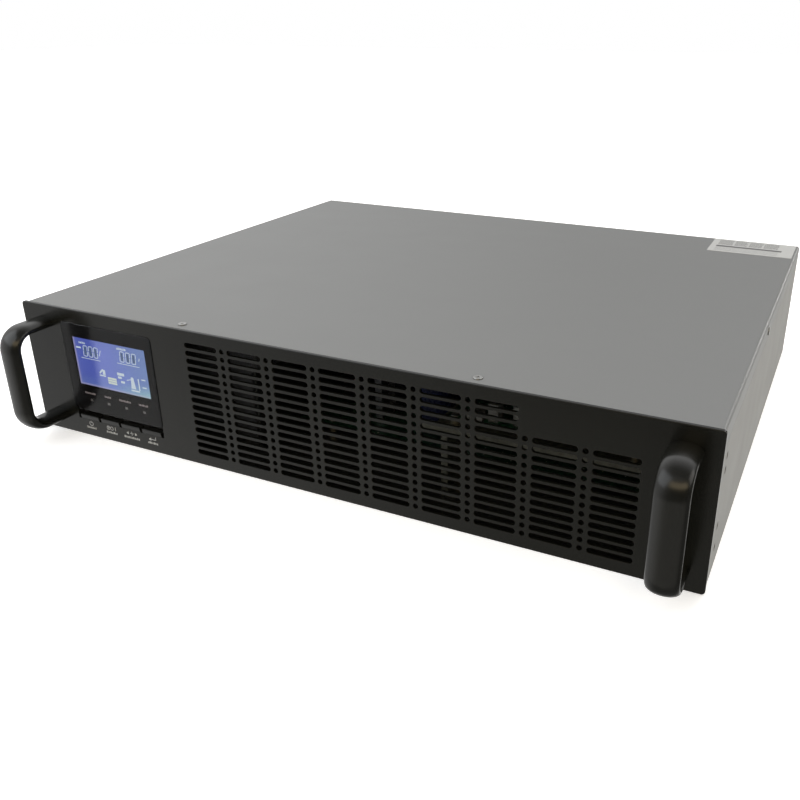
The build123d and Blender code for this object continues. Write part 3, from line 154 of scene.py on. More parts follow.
# Window, and the display's light from left to right, with a rim in mm from its edges
window_smears = 45.0
window_clouds = 30.0
window_roughness = (0.10, 0.16)
smoke_strength = 0.3
smoke_tints = ((0.006, 0.006, 0.006, 1.0), (0.010, 0.010, 0.011, 1.0))
lcd_left_blue = (0.19, 0.24, 0.76, 1.0)
lcd_right_blue = (0.26, 0.40, 0.78, 1.0)
lcd_blue_steps = (
    (0.09, (0.13, 0.18, 0.70, 1.0)),
    (0.26, (0.13, 0.18, 0.70, 1.0)),
    (0.35, (0.26, 0.33, 0.90, 1.0)),
    (0.50, (0.26, 0.34, 0.92, 1.0)),
)
lcd_corner_green = (0.60, 1.05, 0.95, 1.0)
lcd_rim = (2.9, 3.9)
lcd_rim_strength = 0.45
lcd_rim_pink = (0.80, 0.72, 0.95, 1.0)
lcd_unlit = (0.01, 0.015, 0.05, 1.0)
lcd_clouds = 80.0
lcd_tone = 0.06

# Floor and lights
white = (1.0, 1.0, 1.0, 1.0)
floor_reach = 6.0
floor_clouds = 3.0
floor_tones = ((0.90, 0.90, 0.90, 1.0), (0.93, 0.93, 0.93, 1.0))
floor_glow = 0.55
light_aim = Vector((0.0, 0.0, 0.05))
noon = (1.0, 0.99, 0.97)
cool = (0.90, 0.95, 1.0)
warm = (1.0, 0.96, 0.90)

# Surroundings: in front, from the floor up, dim grey, a dark band, a warm bright band and grey
band_strength = 2.2
band_foot = (0.19, 0.186, 0.173, 1.0)
band_top = (0.27, 0.27, 0.27, 1.0)
band_steps = (
    (0.27, (0.18, 0.177, 0.164, 1.0)),
    (0.33, (0.022, 0.022, 0.022, 1.0)),
    (0.67, (0.015, 0.015, 0.015, 1.0)),
    (0.71, (0.92, 0.76, 0.47, 1.0)),
    (0.81, (0.92, 0.74, 0.47, 1.0)),
    (0.85, (0.09, 0.085, 0.085, 1.0)),
)
room_dark = (0.11, 0.11, 0.11, 1.0)
room_low_back = (1.00, 0.99, 0.95, 1.0)


# ---------------------------------------------------------------- shader helpers
def add(tree, kind, inputs=None, **settings):
    """Adds a shader node. inputs gives a value or another node's output for each socket."""
    made = tree.nodes.new("ShaderNode" + kind)
    for name, value in settings.items():
        setattr(made, name, value)
    for name, value in (inputs or {}).items():
        if isinstance(value, bpy.types.NodeSocket):
            tree.links.new(value, made.inputs[name])
        else:
            made.inputs[name].default_value = value
    return made


def place(tree, stretch=(1.0, 1.0, 1.0)):
    """The point being shaded, in metres, multiplied by stretch."""
    where = add(tree, "TexCoord").outputs["Object"]
    return add(tree, "VectorMath", {0: where, 1: stretch}, operation="MULTIPLY").outputs[0]


def noise(tree, scale, detail=3.0, stretch=(1.0, 1.0, 1.0)):
    """Soft random value from 0 to 1, with scale features to the metre."""
    inputs = {"Vector": place(tree, stretch), "Scale": scale, "Detail": detail}
    return add(tree, "TexNoise", inputs).outputs[0]


def spread(tree, value, low, high, start=0.3, end=0.7):
    """Carries a value between start and end over to the range from low to high."""
    ends = {"Value": value, "From Min": start, "From Max": end, "To Min": low, "To Max": high}
    return add(tree, "MapRange", ends).outputs[0]


def calc(tree, operation, first, second):
    """The result of an arithmetic operation on two values."""
    return add(tree, "Math", {0: first, 1: second}, operation=operation).outputs[0]


def mix(tree, factor, first, second):
    """Colour that goes from first to second as factor goes from 0 to 1."""
    return add(tree, "MixRGB", {"Fac": factor, "Color1": first, "Color2": second}).outputs[0]


def times(tree, colour, factor):
    """The colour multiplied by a value, which may vary over the surface."""
    return add(tree, "VectorMath", {0: colour, "Scale": factor}, operation="SCALE").outputs[0]


def colour_steps(tree, value, first, last, steps):
    """Colour that follows a value from 0 to 1. Each step is a position and a colour."""
    made = add(tree, "ValToRGB", {"Fac": value})
    ramp = made.color_ramp
    ramp.elements[0].color = first
    ramp.elements[1].color = last
    for position, colour in steps:
        ramp.elements.new(position).color = colour
    return made.outputs[0]


def shade(colour, factor):
    """The colour made lighter or darker by a fixed factor, as four numbers."""
    return (*[min(1.0, part * factor) for part in colour], 1.0)


def raised(tree, shader, height, depth, **inputs):
    """Bump that is depth mm high where height is 1."""
    relief = {"Strength": 1.0, "Distance": depth * mm, "Height": height, **inputs}
    tree.links.new(add(tree, "Bump", relief).outputs[0], shader.inputs["Normal"])


def edge_wear_and_highlight_mask(tree, radius):
    """1 along sharp edges and 0 on flat faces: where edges get painted wear and a painted highlight."""
    rounded = add(tree, "Bevel", {"Radius": radius}, samples=bevel_samples).outputs[0]
    straight = add(tree, "NewGeometry").outputs["Normal"]
    match = add(tree, "VectorMath", {0: rounded, 1: straight}, operation="DOT_PRODUCT").outputs["Value"]
    return spread(tree, match, 1.0, 0.0, start=full_wear_and_highlight, end=no_wear_or_highlight)


def inside_shade_mask(tree, half_width, low, high, rear):
    """1 on the case's inner faces, which get painted shade, and 0 on its outer ones. The limits are in mm."""
    where = add(tree, "SeparateXYZ", {0: place(tree)})
    across = calc(tree, "ABSOLUTE", where.outputs["X"], 0.0)
    tests = (
        (across, "LESS_THAN", half_width),
        (where.outputs["Z"], "GREATER_THAN", low),
        (where.outputs["Z"], "LESS_THAN", high),
        (where.outputs["Y"], "LESS_THAN", rear),
    )
    mask = 1.0
    for value, test, limit in tests:
        mask = calc(tree, "MULTIPLY", calc(tree, test, value, limit * mm), mask)
    return mask


def start(name, roughness, metallic=0.0):
    """A new material with its node tree and its main shader."""
    material = bpy.data.materials.new(name)
    material.use_nodes = True
    shader = material.node_tree.nodes["Principled BSDF"]
    shader.inputs["Roughness"].default_value = roughness
    shader.inputs["Metallic"].default_value = metallic
    return material, material.node_tree, shader


def finish(
    name,
    colour,
    roughness,
    metallic=0.0,
    tone=0.10,
    blotch=9.0,
    speckle=1500.0,
    speckle_tone=0.08,
    grain=900.0,
    grain_depth=0.02,
    edge_wear_and_highlight=1.25,
    edge_radius=0.3,
    stretch=(1.0, 1.0, 1.0),
    shine=0.5,
    smear=0.15,
    shade_inside=None,
):
    """General finish: cloudy tone, fine speckle, grained surface, edges painted as wear and highlight, and
    painted shade on inner faces. Depths are in mm.
    """
    material, tree, shader = start(name, roughness, metallic)
    clouds = noise(tree, blotch)
    cloudy = mix(tree, spread(tree, clouds, 0.0, 1.0), shade(colour, 1 - tone), shade(colour, 1 + tone))
    specks = noise(tree, speckle, 2.0, stretch)
    speckled = times(tree, cloudy, spread(tree, specks, 1 - speckle_tone, 1 + speckle_tone))
    # painted shade: the inner faces of the cover and case are painted dark
    if shade_inside:
        speckled = mix(tree, inside_shade_mask(tree, *shade_inside), speckled, painted_inside_shade)
    # edges painted lighter: partly wear, partly a painted highlight along edges and bends
    worn_and_highlit = mix(tree, edge_wear_and_highlight_mask(tree, edge_radius * mm), speckled, shade(colour, edge_wear_and_highlight))
    tree.links.new(worn_and_highlit, shader.inputs["Base Color"])
    smears = noise(tree, blotch * smear_ratio, 4.0, stretch)
    uneven = spread(tree, smears, roughness * (1 - smear), roughness * (1 + smear))
    tree.links.new(uneven, shader.inputs["Roughness"])
    rounded = add(tree, "Bevel", {"Radius": edge_radius * mm}, samples=bevel_samples).outputs[0]
    raised(tree, shader, noise(tree, grain, 2.0, stretch), grain_depth, Normal=rounded)
    shader.inputs["Specular IOR Level"].default_value = shine
    return material


def banded(name, colour, gap_colour, roughness, metallic, pitch, direction, depth, tone=0.15, blotch=120.0):
    """Wound wire or stacked sheets: bands across a direction. Pitch and depth are in mm."""
    material, tree, shader = start(name, roughness, metallic)
    scale = 1 / (pitch * mm) / bands_to_a_unit
    wave = {"Vector": place(tree), "Scale": scale, "Distortion": 0.4, "Detail": 1.0}
    bands = add(tree, "TexWave", wave, bands_direction=direction).outputs["Fac"]
    clouds = spread(tree, noise(tree, blotch), 1 - tone, 1 + tone)
    tinted = mix(tree, spread(tree, bands, 0.0, 1.0, 0.1, 0.5), shade(gap_colour, 1), shade(colour, 1))
    tree.links.new(times(tree, tinted, clouds), shader.inputs["Base Color"])
    raised(tree, shader, bands, depth)
    return material


def circuit(name, colour, trace_colour, roughness, blotch=40.0, darkest=0.8, lightest=1.25):
    """Circuit board: solder mask over a maze of raised traces, with scattered tinned pads."""
    material, tree, shader = start(name, roughness)
    where = place(tree)
    cells = {"Vector": where, "Scale": traces_to_a_metre, "Randomness": 0.55}
    maze = add(tree, "TexVoronoi", cells, feature="F1", distance="MANHATTAN").outputs["Distance"]
    trace = spread(tree, maze, 1.0, 0.0, *trace_edge)
    dots = {"Vector": where, "Scale": pads_to_a_metre, "Randomness": 0.9}
    pad = spread(tree, add(tree, "TexVoronoi", dots).outputs["Distance"], 1.0, 0.0, *pad_edge)
    cloudy = mix(tree, noise(tree, blotch), shade(colour, darkest), shade(colour, lightest))
    traced = mix(tree, trace, cloudy, shade(trace_colour, 1))
    tinned = mix(tree, pad, traced, tin)
    tree.links.new(tinned, shader.inputs["Base Color"])
    tree.links.new(pad, shader.inputs["Metallic"])
    raised(tree, shader, trace, trace_depth)
    return material


def glowing(name, colour, strength, grain=900.0, unlit=0.1, darkest=0.9, lightest=1.05):
    """Lit display ink with slightly uneven light."""
    material, tree, shader = start(name, 0.4)
    uneven = mix(tree, noise(tree, grain), shade(colour, darkest), shade(colour, lightest))
    tree.links.new(uneven, shader.inputs["Emission Color"])
    shader.inputs["Base Color"].default_value = shade(colour, unlit)
    shader.inputs["Emission Strength"].default_value = strength
    return material


# ---------------------------------------------------------------- materials
# edges painted 3.5 times lighter: a painted highlight along the panel's slots and rims
black_panel = finish(
    "black_powder_coat", (0.0063, 0.0063, 0.0048), 0.20, tone=0.12, grain=1100, grain_depth=0.003, edge_wear_and_highlight=3.5,
    shine=0.34, smear=0.10,
)
black_handle = finish(
    "black_handle_lacquer", (0.0070, 0.0070, 0.0055), 0.24, tone=0.10, grain=1600, grain_depth=0.002,
    edge_wear_and_highlight=1.2, shine=0.46, smear=0.10,
)
# edges painted lighter: partly a painted highlight along the cover's bends
cover_paint = finish(
    "cover_grey_paint", (0.170, 0.174, 0.175), 0.42, tone=0.010, blotch=3, speckle=2200, speckle_tone=0.05,
    grain=1300, grain_depth=0.010, edge_wear_and_highlight=1.5, shine=0.42, smear=0.04, shade_inside=cover_inside,
)
case_paint = finish(
    "case_grey_paint", (0.172, 0.168, 0.157), 0.42, tone=0.02, blotch=4, speckle=2200, speckle_tone=0.05,
    grain=1300, grain_depth=0.010, edge_wear_and_highlight=1.4, shine=0.42, smear=0.06, shade_inside=case_inside,
)
zinc = finish(
    "zinc_sheet", (0.06, 0.06, 0.055), 0.42, metallic=0.85, tone=0.16, blotch=70, speckle=420,
    speckle_tone=0.12, grain=700, grain_depth=0.01, edge_wear_and_highlight=1.3,
)
dull_sheet = finish(
    "dull_bracket_sheet", (0.10, 0.10, 0.08), 0.5, metallic=0.5, tone=0.16, blotch=70, speckle=420,
    speckle_tone=0.12, grain=700, grain_depth=0.01, edge_wear_and_highlight=1.5,
)
screw_steel = finish(
    "screw_steel", (0.36, 0.36, 0.35), 0.33, metallic=1.0, tone=0.12, blotch=160, grain=2500,
    grain_depth=0.008, edge_wear_and_highlight=1.7, edge_radius=0.15,
)
paper = finish(
    "sticker_paper", (0.45, 0.455, 0.45), 0.55, tone=0.03, speckle=3500, grain=4200, grain_depth=0.006,
    edge_wear_and_highlight=0.9, edge_radius=0.05,
)
gloss_black = finish(
    "gloss_black_ink", (0.006, 0.006, 0.0065), 0.45, tone=0.1, grain=3000, grain_depth=0.001, edge_wear_and_highlight=1.2,
    edge_radius=0.05, shine=0.05,
)
bezel_plastic = finish("bezel_plastic", (0.013, 0.013, 0.013), 0.5, grain=2600, grain_depth=0.02)
# edges painted five times lighter: a painted highlight along the keys' top edges
key_plastic = finish(
    "key_plastic", (0.0075, 0.0075, 0.0065), 0.24, grain=3000, grain_depth=0.004, edge_wear_and_highlight=5.0, edge_radius=0.30,
    shine=0.36,
)
lamp_plastic = finish(
    "lamp_lens", (0.36, 0.35, 0.35), 0.22, grain=1500, grain_depth=0.004, edge_wear_and_highlight=1.3, edge_radius=0.1
)
component_black = finish(
    "component_black", (0.030, 0.030, 0.033), 0.5, blotch=120, grain=2600, grain_depth=0.02, edge_wear_and_highlight=1.8
)
component_grey = finish(
    "component_grey", (0.10, 0.10, 0.09), 0.45, blotch=90, grain=1800, grain_depth=0.015, edge_wear_and_highlight=1.4
)
relay_plastic = finish(
    "relay_case", (0.16, 0.17, 0.18), 0.38, blotch=90, grain=1800, grain_depth=0.01, edge_wear_and_highlight=1.2
)
battery_plastic = finish(
    "battery_case", (0.022, 0.023, 0.025), 0.48, tone=0.12, blotch=30, grain=1500, grain_depth=0.03, edge_wear_and_highlight=1.5
)
lead_rubber = finish(
    "lead_insulation", (0.42, 0.03, 0.028), 0.38, blotch=60, grain=1200, grain_depth=0.01, edge_wear_and_highlight=1.1
)
ribbon_plastic = banded(
    "ribbon_cable", (0.030, 0.030, 0.031), (0.015, 0.015, 0.015), 0.45, 0.0, pitch=1.27, direction="X",
    depth=0.25,
)
sink_metal = finish(
    "heat_sink_metal", (0.30, 0.30, 0.31), 0.38, metallic=1.0, tone=0.08, blotch=50, grain=900,
    grain_depth=0.012, edge_wear_and_highlight=1.2, stretch=(1.0, 0.04, 1.0),
)
capacitor_sleeve = finish(
    "capacitor_sleeve", (0.018, 0.024, 0.07), 0.28, blotch=90, grain=600, grain_depth=0.01, edge_wear_and_highlight=1.4
)
core_black = banded(
    "core_laminations", (0.10, 0.10, 0.10), (0.03, 0.03, 0.03), 0.42, 0.6, pitch=0.7, direction="Y",
    depth=0.08,
)
ferrite = finish("ferrite_core", (0.10, 0.13, 0.09), 0.55, blotch=110, grain=2200, grain_depth=0.03, edge_wear_and_highlight=1.3)
copper = banded(
    "enamelled_copper", (0.28, 0.12, 0.055), (0.08, 0.035, 0.02), 0.28, 0.85, pitch=1.1, direction="DIAGONAL",
    depth=0.35,
)
fan_plastic = finish(
    "fan_plastic", (0.026, 0.026, 0.027), 0.46, blotch=60, grain=2200, grain_depth=0.02, edge_wear_and_highlight=1.8
)
socket_plastic = finish(
    "socket_plastic", (0.027, 0.027, 0.028), 0.42, blotch=90, grain=2600, grain_depth=0.02, edge_wear_and_highlight=2.0
)
nickel = finish(
    "nickel_pins", (0.66, 0.62, 0.50), 0.22, metallic=1.0, blotch=150, grain=2600, grain_depth=0.005,
    edge_wear_and_highlight=1.2, edge_radius=0.15,
)
bright_wire = finish(
    "bright_wire", (0.70, 0.70, 0.71), 0.18, metallic=1.0, tone=0.06, blotch=90, grain=1500,
    grain_depth=0.006, edge_wear_and_highlight=1.0,
)
port_shell = finish(
    "port_shell", (0.52, 0.52, 0.51), 0.28, metallic=1.0, blotch=120, grain=1600, grain_depth=0.006, edge_wear_and_highlight=1.3,
    edge_radius=0.2, stretch=(1.0, 0.1, 1.0),
)
plug_plastic = finish("plug_plastic", (0.02, 0.24, 0.07), 0.42, blotch=120, grain=2200, grain_depth=0.015)
button_plastic = finish("button_plastic", (0.70, 0.70, 0.67), 0.35, blotch=120, grain=2200, grain_depth=0.01)
board_mask = circuit("board_mask", (0.008, 0.045, 0.022), (0.02, 0.10, 0.045), 0.40)
white_ink = finish(
    "white_ink", (0.36, 0.36, 0.35), 0.5, tone=0.08, grain=5000, grain_depth=0.004, edge_wear_and_highlight=1.0, edge_radius=0.02
)
lamp_ink = finish(
    "pale_ink", (0.40, 0.34, 0.35), 0.5, tone=0.08, grain=5000, grain_depth=0.004, edge_wear_and_highlight=1.0, edge_radius=0.02
)
grey_ink = finish(
    "grey_ink", (0.10, 0.10, 0.103), 0.55, tone=0.06, grain=5000, grain_depth=0.004, edge_wear_and_highlight=1.0,
    edge_radius=0.02,
)
lcd_ink = glowing("lcd_ink", (0.62, 0.72, 0.80), 1.5)
lcd_ink_warm = glowing("lcd_ink_warm", (0.66, 0.74, 0.66), 1.5)
lcd_dark = glowing("lcd_dark", (0.12, 0.19, 0.34), 1.0)


def clear_window():
    """Thin smoked acrylic with a faint smear that blurs some of its reflections."""
    material, tree, shader = start("clear_window", 0.12)
    shader.inputs["Alpha"].default_value = smoke_strength
    shader.inputs["Specular IOR Level"].default_value = 1.0
    smears = noise(tree, window_smears, detail=5.0)
    tree.links.new(spread(tree, smears, *window_roughness), shader.inputs["Roughness"])
    tree.links.new(mix(tree, noise(tree, window_clouds), *smoke_tints), shader.inputs["Base Color"])
    return material


def lit_display():
    """Backlit display: deep blue at the left, paler to the right, greenish low at the right, glowing rim."""
    material, tree, shader = start("lit_display", 0.25)
    where = add(tree, "SeparateXYZ", {0: place(tree)}).outputs
    right = spread(tree, where["X"], 0.0, 1.0, lcd_low.x, lcd_high.x)
    up = spread(tree, where["Z"], 0.0, 1.0, lcd_low.z, lcd_high.z)
    blues = colour_steps(tree, right, lcd_left_blue, lcd_right_blue, lcd_blue_steps)
    foot = spread(tree, up, 0.9, 0.0, start=0.02, end=0.30)
    corner = calc(tree, "MULTIPLY", foot, spread(tree, right, 0.1, 1.0, start=0.45, end=1.0))
    pale = mix(tree, corner, blues, lcd_corner_green)
    rim_start, rim_end = [distance * mm for distance in lcd_rim]
    left_rim = spread(tree, where["X"], lcd_rim_strength, 0.0, lcd_low.x + rim_start, lcd_low.x + rim_end)
    lower_rim = spread(tree, where["Z"], lcd_rim_strength, 0.0, lcd_low.z + rim_start, lcd_low.z + rim_end)
    rimmed = mix(tree, calc(tree, "MAXIMUM", left_rim, lower_rim), pale, lcd_rim_pink)
    uneven = spread(tree, noise(tree, lcd_clouds), 1 - lcd_tone, 1 + lcd_tone)
    tree.links.new(times(tree, rimmed, uneven), shader.inputs["Emission Color"])
    shader.inputs["Base Color"].default_value = lcd_unlit
    shader.inputs["Emission Strength"].default_value = 1.0
    return material


coats = {
    black_panel: ["front_panel"],
    black_handle: ["handle_left", "handle_right"],
    cover_paint: ["top_cover"],
    case_paint: ["chassis_tray", "rear_panel", "slot_cover"],
    zinc: ["front_rail", "battery_strap", "divider_wall"],
    dull_sheet: ["charger_shelf"],
    screw_steel: ["handle_screws", "case_screws", "nuts", "studs", "board_screws", "fan_screws"],
    paper: ["top_label"],
    clear_window(): ["display_lens"],
    gloss_black: ["lens_mask"],
    bezel_plastic: ["display_bezel"],
    lit_display(): ["lcd_panel"],
    lamp_plastic: ["status_lamps"],
    key_plastic: keys,
    board_mask: ["display_board", "power_board", "control_board", "charger_board"],
    component_black: ["tact_switches", "power_transistors"],
    component_grey: ["board_headers", "charger_parts"],
    relay_plastic: ["relays"],
    battery_plastic: ["battery_front", "battery_middle", "battery_rear"],
    lead_rubber: ["battery_leads"],
    ribbon_plastic: ["ribbon_cable"],
    sink_metal: ["heat_sinks"],
    capacitor_sleeve: ["bulk_capacitors"],
    ferrite: ["choke_cores"],
    core_black: ["transformer_core"],
    copper: ["choke_windings", "transformer_coil"],
    fan_plastic: ["fan_frames", "fan_rotor_left", "fan_rotor_right"],
    socket_plastic: ["power_inlet", "power_outlets", "breaker_body"],
    nickel: ["inlet_pins", "standoffs"],
    bright_wire: ["fan_guards"],
    port_shell: ["data_ports", "network_ports"],
    plug_plastic: ["epo_plug"],
    button_plastic: ["breaker_button"],
}
for material, names in coats.items():
    for name in names:
        holder = nodes[name].data.materials
        for index in range(len(holder)):
            holder[index] = material


# ---------------------------------------------------------------- printing, with every outline in mm
def on_front(u, v, w):
    """Point on a face that looks to the front, u across, v up and w proud of the face."""
    return (u, -w, v)


def on_top(u, v, w):
    """Point on a face that looks up, u across, v to the back and w proud of the face."""
    return (u, v, w)


def print_piece(name, outlines, turn, corner, material):
    """Thin raised print: every outline is a list of (u, v) points in mm from the corner."""
    mesh = bmesh.new()
    for outline in outlines:
        foot = [mesh.verts.new(Vector(turn(u * mm, v * mm, 0.0)) + corner) for u, v in outline]
        top = [mesh.verts.new(Vector(turn(u * mm, v * mm, ink_thick)) + corner) for u, v in outline]
        mesh.faces.new(list(reversed(foot)))
        mesh.faces.new(top)
        count = len(outline)
        for index in range(count):
            following = (index + 1) % count
            mesh.faces.new((foot[index], foot[following], top[following], top[index]))
    bmesh.ops.recalc_face_normals(mesh, faces=mesh.faces)
    data = bpy.data.meshes.new(name)
    mesh.to_mesh(data)
    mesh.free()
    data.materials.append(material)
    piece = bpy.data.objects.new(name, data)
    bpy.context.scene.collection.objects.link(piece)
    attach(piece, "case")


def bar(x, z, width, height):
    """Outline of a rectangle given by its centre."""
    half_width = width / 2
    half_height = height / 2
    signs = ((-1, -1), (1, -1), (1, 1), (-1, 1))
    return [(x + a * half_width, z + b * half_height) for a, b in signs]


def stroke(first, last, width):
    """Outline of a straight line of some width between two points."""
    along = Vector(last) - Vector(first)
    side = Vector((-along.y, along.x)).normalized() * width / 2
    ends = (Vector(first) - side, Vector(last) - side, Vector(last) + side, Vector(first) + side)
    return [tuple(point) for point in ends]


def arc(x, z, radius, width, start_angle, end_angle, steps=16):
    """Outlines of a curved line as short four-sided pieces."""
    pieces = []
    turn = math.radians(end_angle - start_angle) / steps
    for index in range(steps):
        first = math.radians(start_angle) + turn * index
        corners = []
        for angle, reach in ((first, -1), (first + turn, -1), (first + turn, 1), (first, 1)):
            distance = radius + reach * width / 2
            corners.append((x + distance * math.cos(angle), z + distance * math.sin(angle)))
        pieces.append(corners)
    return pieces


def greeked(x, z, width, height, first_letter=0):
    """A row of plain blocks in place of a word, centred on x."""
    blocks = []
    left = x - width / 2
    index = first_letter
    while left < x + width / 2 - word_margin * height:
        letter = word_letters[index % len(word_letters)] * height
        drop = letter_drop * height * (index % 3)
        blocks.append(bar(left + letter / 2, z - drop / 2, letter, height - drop))
        left += letter + letter_gap * height
        index += 1
    return blocks


def digit_zero(x, z, width, height, slant=0.10):
    """The number nought as six display segments."""
    thick = segment_width * width
    half_width = width / 2
    half_height = height / 2
    lean = slant * height / 2
    top_left = (x - half_width + lean, z + half_height)
    top_right = (x + half_width + lean, z + half_height)
    low_left = (x - half_width - lean, z - half_height)
    low_right = (x + half_width - lean, z - half_height)
    mid_left = (x - half_width, z)
    mid_right = (x + half_width, z)
    pairs = (
        (top_left, top_right),
        (low_left, low_right),
        (top_left, mid_left),
        (mid_left, low_left),
        (top_right, mid_right),
        (mid_right, low_right),
    )
    outlines = []
    for first, last in pairs:
        gap = (Vector(last) - Vector(first)).normalized() * thick * segment_inset
        outlines.append(stroke(Vector(first) + gap, Vector(last) - gap, thick))
    return outlines


def moved(outlines, x, z):
    """The outlines carried along by x and z."""
    return [[(u + x, v + z) for u, v in outline] for outline in outlines]


def on_icon():
    """Ring that is open at the top, with a bar in the gap."""
    return [*arc(0, 0, icon_radius, icon_line, *ring_angles), bar(*on_stem)]


def off_icon():
    """Two rings with a bar beside them and a slash through the first."""
    outlines = []
    for x in off_rings:
        outlines += arc(x, 0, off_ring_radius, icon_line, 0, 360)
    return [*outlines, bar(*off_stem), stroke(*off_slash, icon_line)]


def scroll_icon():
    """A plus between two arrowheads that point outwards."""
    outlines = []
    for side in (-1, 1):
        back = side * arrow_back
        outlines.append([(side * arrow_tip, 0), (back, arrow_half), (back, -arrow_half)])
    return [*outlines, bar(0, 0, plus_size, icon_line), bar(0, 0, icon_line, plus_size)]


def enter_icon():
    """Arrow to the left with its tail turned up."""
    return [bar(*enter_line), bar(*enter_tail), enter_head]


def key_marks():
    """Words and icons under the keys, from the row's middle line and the keys' lower edge."""
    centres = []
    for name in keys:
        low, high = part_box(name)
        centres.append((low.x + high.x) / 2 / mm)
    outlines = []
    for centre, width in zip(centres, key_word_widths):
        outlines += greeked(centre, -key_word_drop, width, key_word_height, len(outlines))
    for centre, icon in zip(centres, (on_icon(), off_icon(), scroll_icon(), enter_icon())):
        outlines += moved(icon, centre, -key_icon_drop)
    return outlines


def lamp_marks():
    """Words above the lamps, from the first lamp and the lamps' upper edge."""
    outlines = []
    for index, width in enumerate(lamp_word_widths):
        outlines += greeked(index * lamp_pitch, lamp_word_rise, width, lamp_word_height, 3 * index)
    return outlines


def display_figures():
    """The lit figures: digit groups, small words and marks, then the symbols of the lower half."""
    outlines = []
    for first_x, z, pitch, height in digit_groups:
        for index in range(group_digits):
            outlines += digit_zero(first_x + index * pitch, z, digit_width, height)
    outlines += [bar(*line) for line in underlines]
    for word in small_words:
        outlines += greeked(*word)
    outlines += [stroke(*mark) for mark in unit_marks]
    outlines.append(bar(*source_mark))
    outlines += [bar(*house_floor), stroke(*house_roof), bar(*house_wall)]
    outlines += [bar(*part) for part in charger_parts]
    outlines += [stroke(*charger_lead), level_column]
    outlines += [bar(*part) for part in level_marks]
    return outlines


def digit_centres():
    """The unlit middle of each digit."""
    outlines = []
    for group in digit_groups:
        first_x, z, pitch = group[:3]
        outlines += [bar(first_x + index * pitch, z, *unlit_size) for index in range(group_digits)]
    return outlines


def sticker_marks():
    """Rows of words, lines under them and a dark strip, from the sticker's rear left corner."""
    outlines = []
    for row in range(sticker_rows):
        z = -sticker_first_row - sticker_row_pitch * row
        for column, width in enumerate(sticker_word_widths):
            x = sticker_first_word + sticker_word_pitch * column
            outlines += greeked(x, z, width, sticker_word_height, row + column)
    for row in range(sticker_lines):
        outlines.append(bar(sticker_line_x, sticker_line_pitch * row - sticker_last_line, *sticker_line_size))
    return [*outlines, bar(*sticker_strip)]


key_corner = Vector((0, panel_face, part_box(keys[0])[0].z))
print_piece("key_marks", key_marks(), on_front, key_corner, white_ink)

lamps_low, lamps_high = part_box("status_lamps")
mask_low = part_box("lens_mask")[0]
lamp_corner = Vector((lamps_low.x + lamp_inset * mm, mask_low.y - ink_thick, lamps_high.z))
print_piece("lamp_words", lamp_marks(), on_front, lamp_corner, lamp_ink)

lcd_corner = Vector((lcd_low.x, lcd_low.y - ink_thick, lcd_low.z))
gauge = [bar(gauge_x, z, *gauge_size) for z in gauge_heights]
print_piece("display_figures", display_figures(), on_front, lcd_corner, lcd_ink)
print_piece("display_gauge", gauge, on_front, lcd_corner, lcd_ink_warm)
print_piece("display_digit_centres", digit_centres(), on_front, lcd_corner, lcd_dark)

label_low, label_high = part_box("top_label")
label_corner = Vector((label_low.x, label_high.y, label_high.z))
print_piece("sticker_marks", sticker_marks(), on_top, label_corner, grey_ink)


# ---------------------------------------------------------------- floor, light and camera
def pale_floor():
    """Large pale floor that also glows a little, so that it stays white."""
    data = bpy.data.meshes.new("floor")
    mesh = bmesh.new()
    bmesh.ops.create_grid(mesh, x_segments=2, y_segments=2, size=floor_reach)
    mesh.to_mesh(data)
    mesh.free()
    material, tree, shader = start("pale_floor", 0.7)
    tree.links.new(mix(tree, noise(tree, floor_clouds), *floor_tones), shader.inputs["Base Color"])
    shader.inputs["Emission Color"].default_value = white
    shader.inputs["Emission Strength"].default_value = floor_glow
    data.materials.append(material)
    floor = bpy.data.objects.new("floor", data)
    bpy.context.scene.collection.objects.link(floor)
    floor.visible_glossy = False
    return floor


pale_floor()


def soft_light(name, place_at, size, power, colour, mirrored=True):
    """Large area light aimed at the case. mirrored says whether glossy surfaces show it."""
    data = bpy.data.lights.new(name, "AREA")
    data.shape = "RECTANGLE"
    data.size, data.size_y = size
    data.energy = power
    data.color = colour
    lamp = bpy.data.objects.new(name, data)
    lamp.location = place_at
    lamp.visible_glossy = mirrored
    lamp.rotation_euler = (light_aim - Vector(place_at)).to_track_quat("-Z", "Y").to_euler()
    bpy.context.scene.collection.objects.link(lamp)


soft_light("overhead_light", (-0.4, 0.6, 2.4), size=(2.4, 2.0), power=24.0, colour=noon, mirrored=False)
soft_light("left_light", (-1.5, -1.3, 1.5), size=(2.4, 1.8), power=19.0, colour=cool)
soft_light("right_light", (2.0, 0.0, 1.3), size=(1.6, 1.2), power=9.0, colour=warm)
soft_light("edge_light", (0.9, 2.3, 0.6), size=(0.3, 0.6), power=6.0, colour=noon)


def from_below(tree, toward):
    """1 for light from below the horizon and 0 for light from above it."""
    return spread(tree, toward["Z"], 1.0, 0.0, start=-0.15, end=0.05)


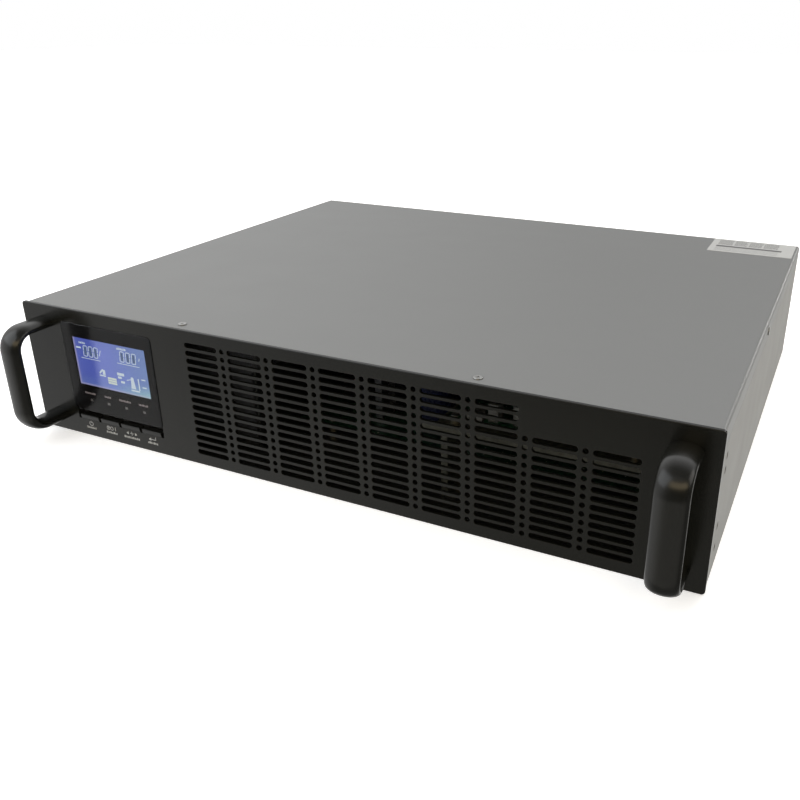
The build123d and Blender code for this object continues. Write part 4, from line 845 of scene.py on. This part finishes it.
def front_bands(tree, toward):
    """Light from the front in level bands, and where it shows: not at the upper left."""
    height = spread(tree, toward["Z"], 0.0, 1.0, start=-1.0, end=1.0)
    bands = times(tree, colour_steps(tree, height, band_foot, band_top, band_steps), band_strength)
    ahead = spread(tree, toward["Y"], 1.0, 0.0, start=-0.60, end=-0.40)
    not_left = spread(tree, toward["X"], 0.0, 1.0, start=-0.34, end=-0.20)
    shown = calc(tree, "MAXIMUM", not_left, from_below(tree, toward))
    return bands, calc(tree, "MULTIPLY", ahead, shown)


def dim_room(tree, toward):
    """Dark grey all round, near white low at the back, as from a pale floor there."""
    behind = spread(tree, toward["Y"], 0.0, 1.0, start=0.3, end=0.8)
    return mix(tree, calc(tree, "MULTIPLY", from_below(tree, toward), behind), room_dark, room_low_back)


def extra_light(tree, toward):
    """More light from the left and from above, strongest above the back."""
    from_left = spread(tree, toward["X"], 0.75, 0.0, start=-0.75, end=-0.28)
    high = spread(tree, toward["Z"], 0.0, 1.0, start=0.25, end=0.60)
    to_back = spread(tree, toward["Y"], 0.10, 1.25, start=0.0, end=0.7)
    return calc(tree, "ADD", from_left, calc(tree, "MULTIPLY", high, to_back))


def surroundings():
    """World that lights the case from all round, while the camera sees plain white."""
    world = bpy.data.worlds.new("studio")
    world.use_nodes = True
    tree = world.node_tree
    toward = add(tree, "SeparateXYZ", {0: add(tree, "TexCoord").outputs["Generated"]}).outputs
    bands, in_front = front_bands(tree, toward)
    banded_room = mix(tree, in_front, dim_room(tree, toward), bands)
    whole = {0: banded_room, 1: extra_light(tree, toward)}
    lit = tree.nodes["Background"]
    tree.links.new(add(tree, "VectorMath", whole, operation="ADD").outputs[0], lit.inputs["Color"])
    plain = add(tree, "Background", {"Color": white, "Strength": 1.0})
    seen = add(tree, "LightPath").outputs["Is Camera Ray"]
    both = add(tree, "MixShader", {0: seen, 1: lit.outputs[0], 2: plain.outputs[0]})
    tree.links.new(both.outputs[0], tree.nodes["World Output"].inputs["Surface"])
    return world


bpy.context.scene.world = surroundings()
bpy.context.scene.view_settings.view_transform = "Standard"

camera_data = bpy.data.cameras.new("camera")
camera_data.lens = camera_lens
camera_data.sensor_width = camera_sensor
camera_data.shift_x, camera_data.shift_y = camera_shift
camera_data.clip_start = camera_near
camera = bpy.data.objects.new("camera", camera_data)
camera.location = panel_foot + camera_offset
camera.rotation_euler = [math.radians(angle) for angle in camera_turn]
bpy.context.scene.collection.objects.link(camera)
bpy.context.scene.camera = camera

bpy.context.view_layer.update()
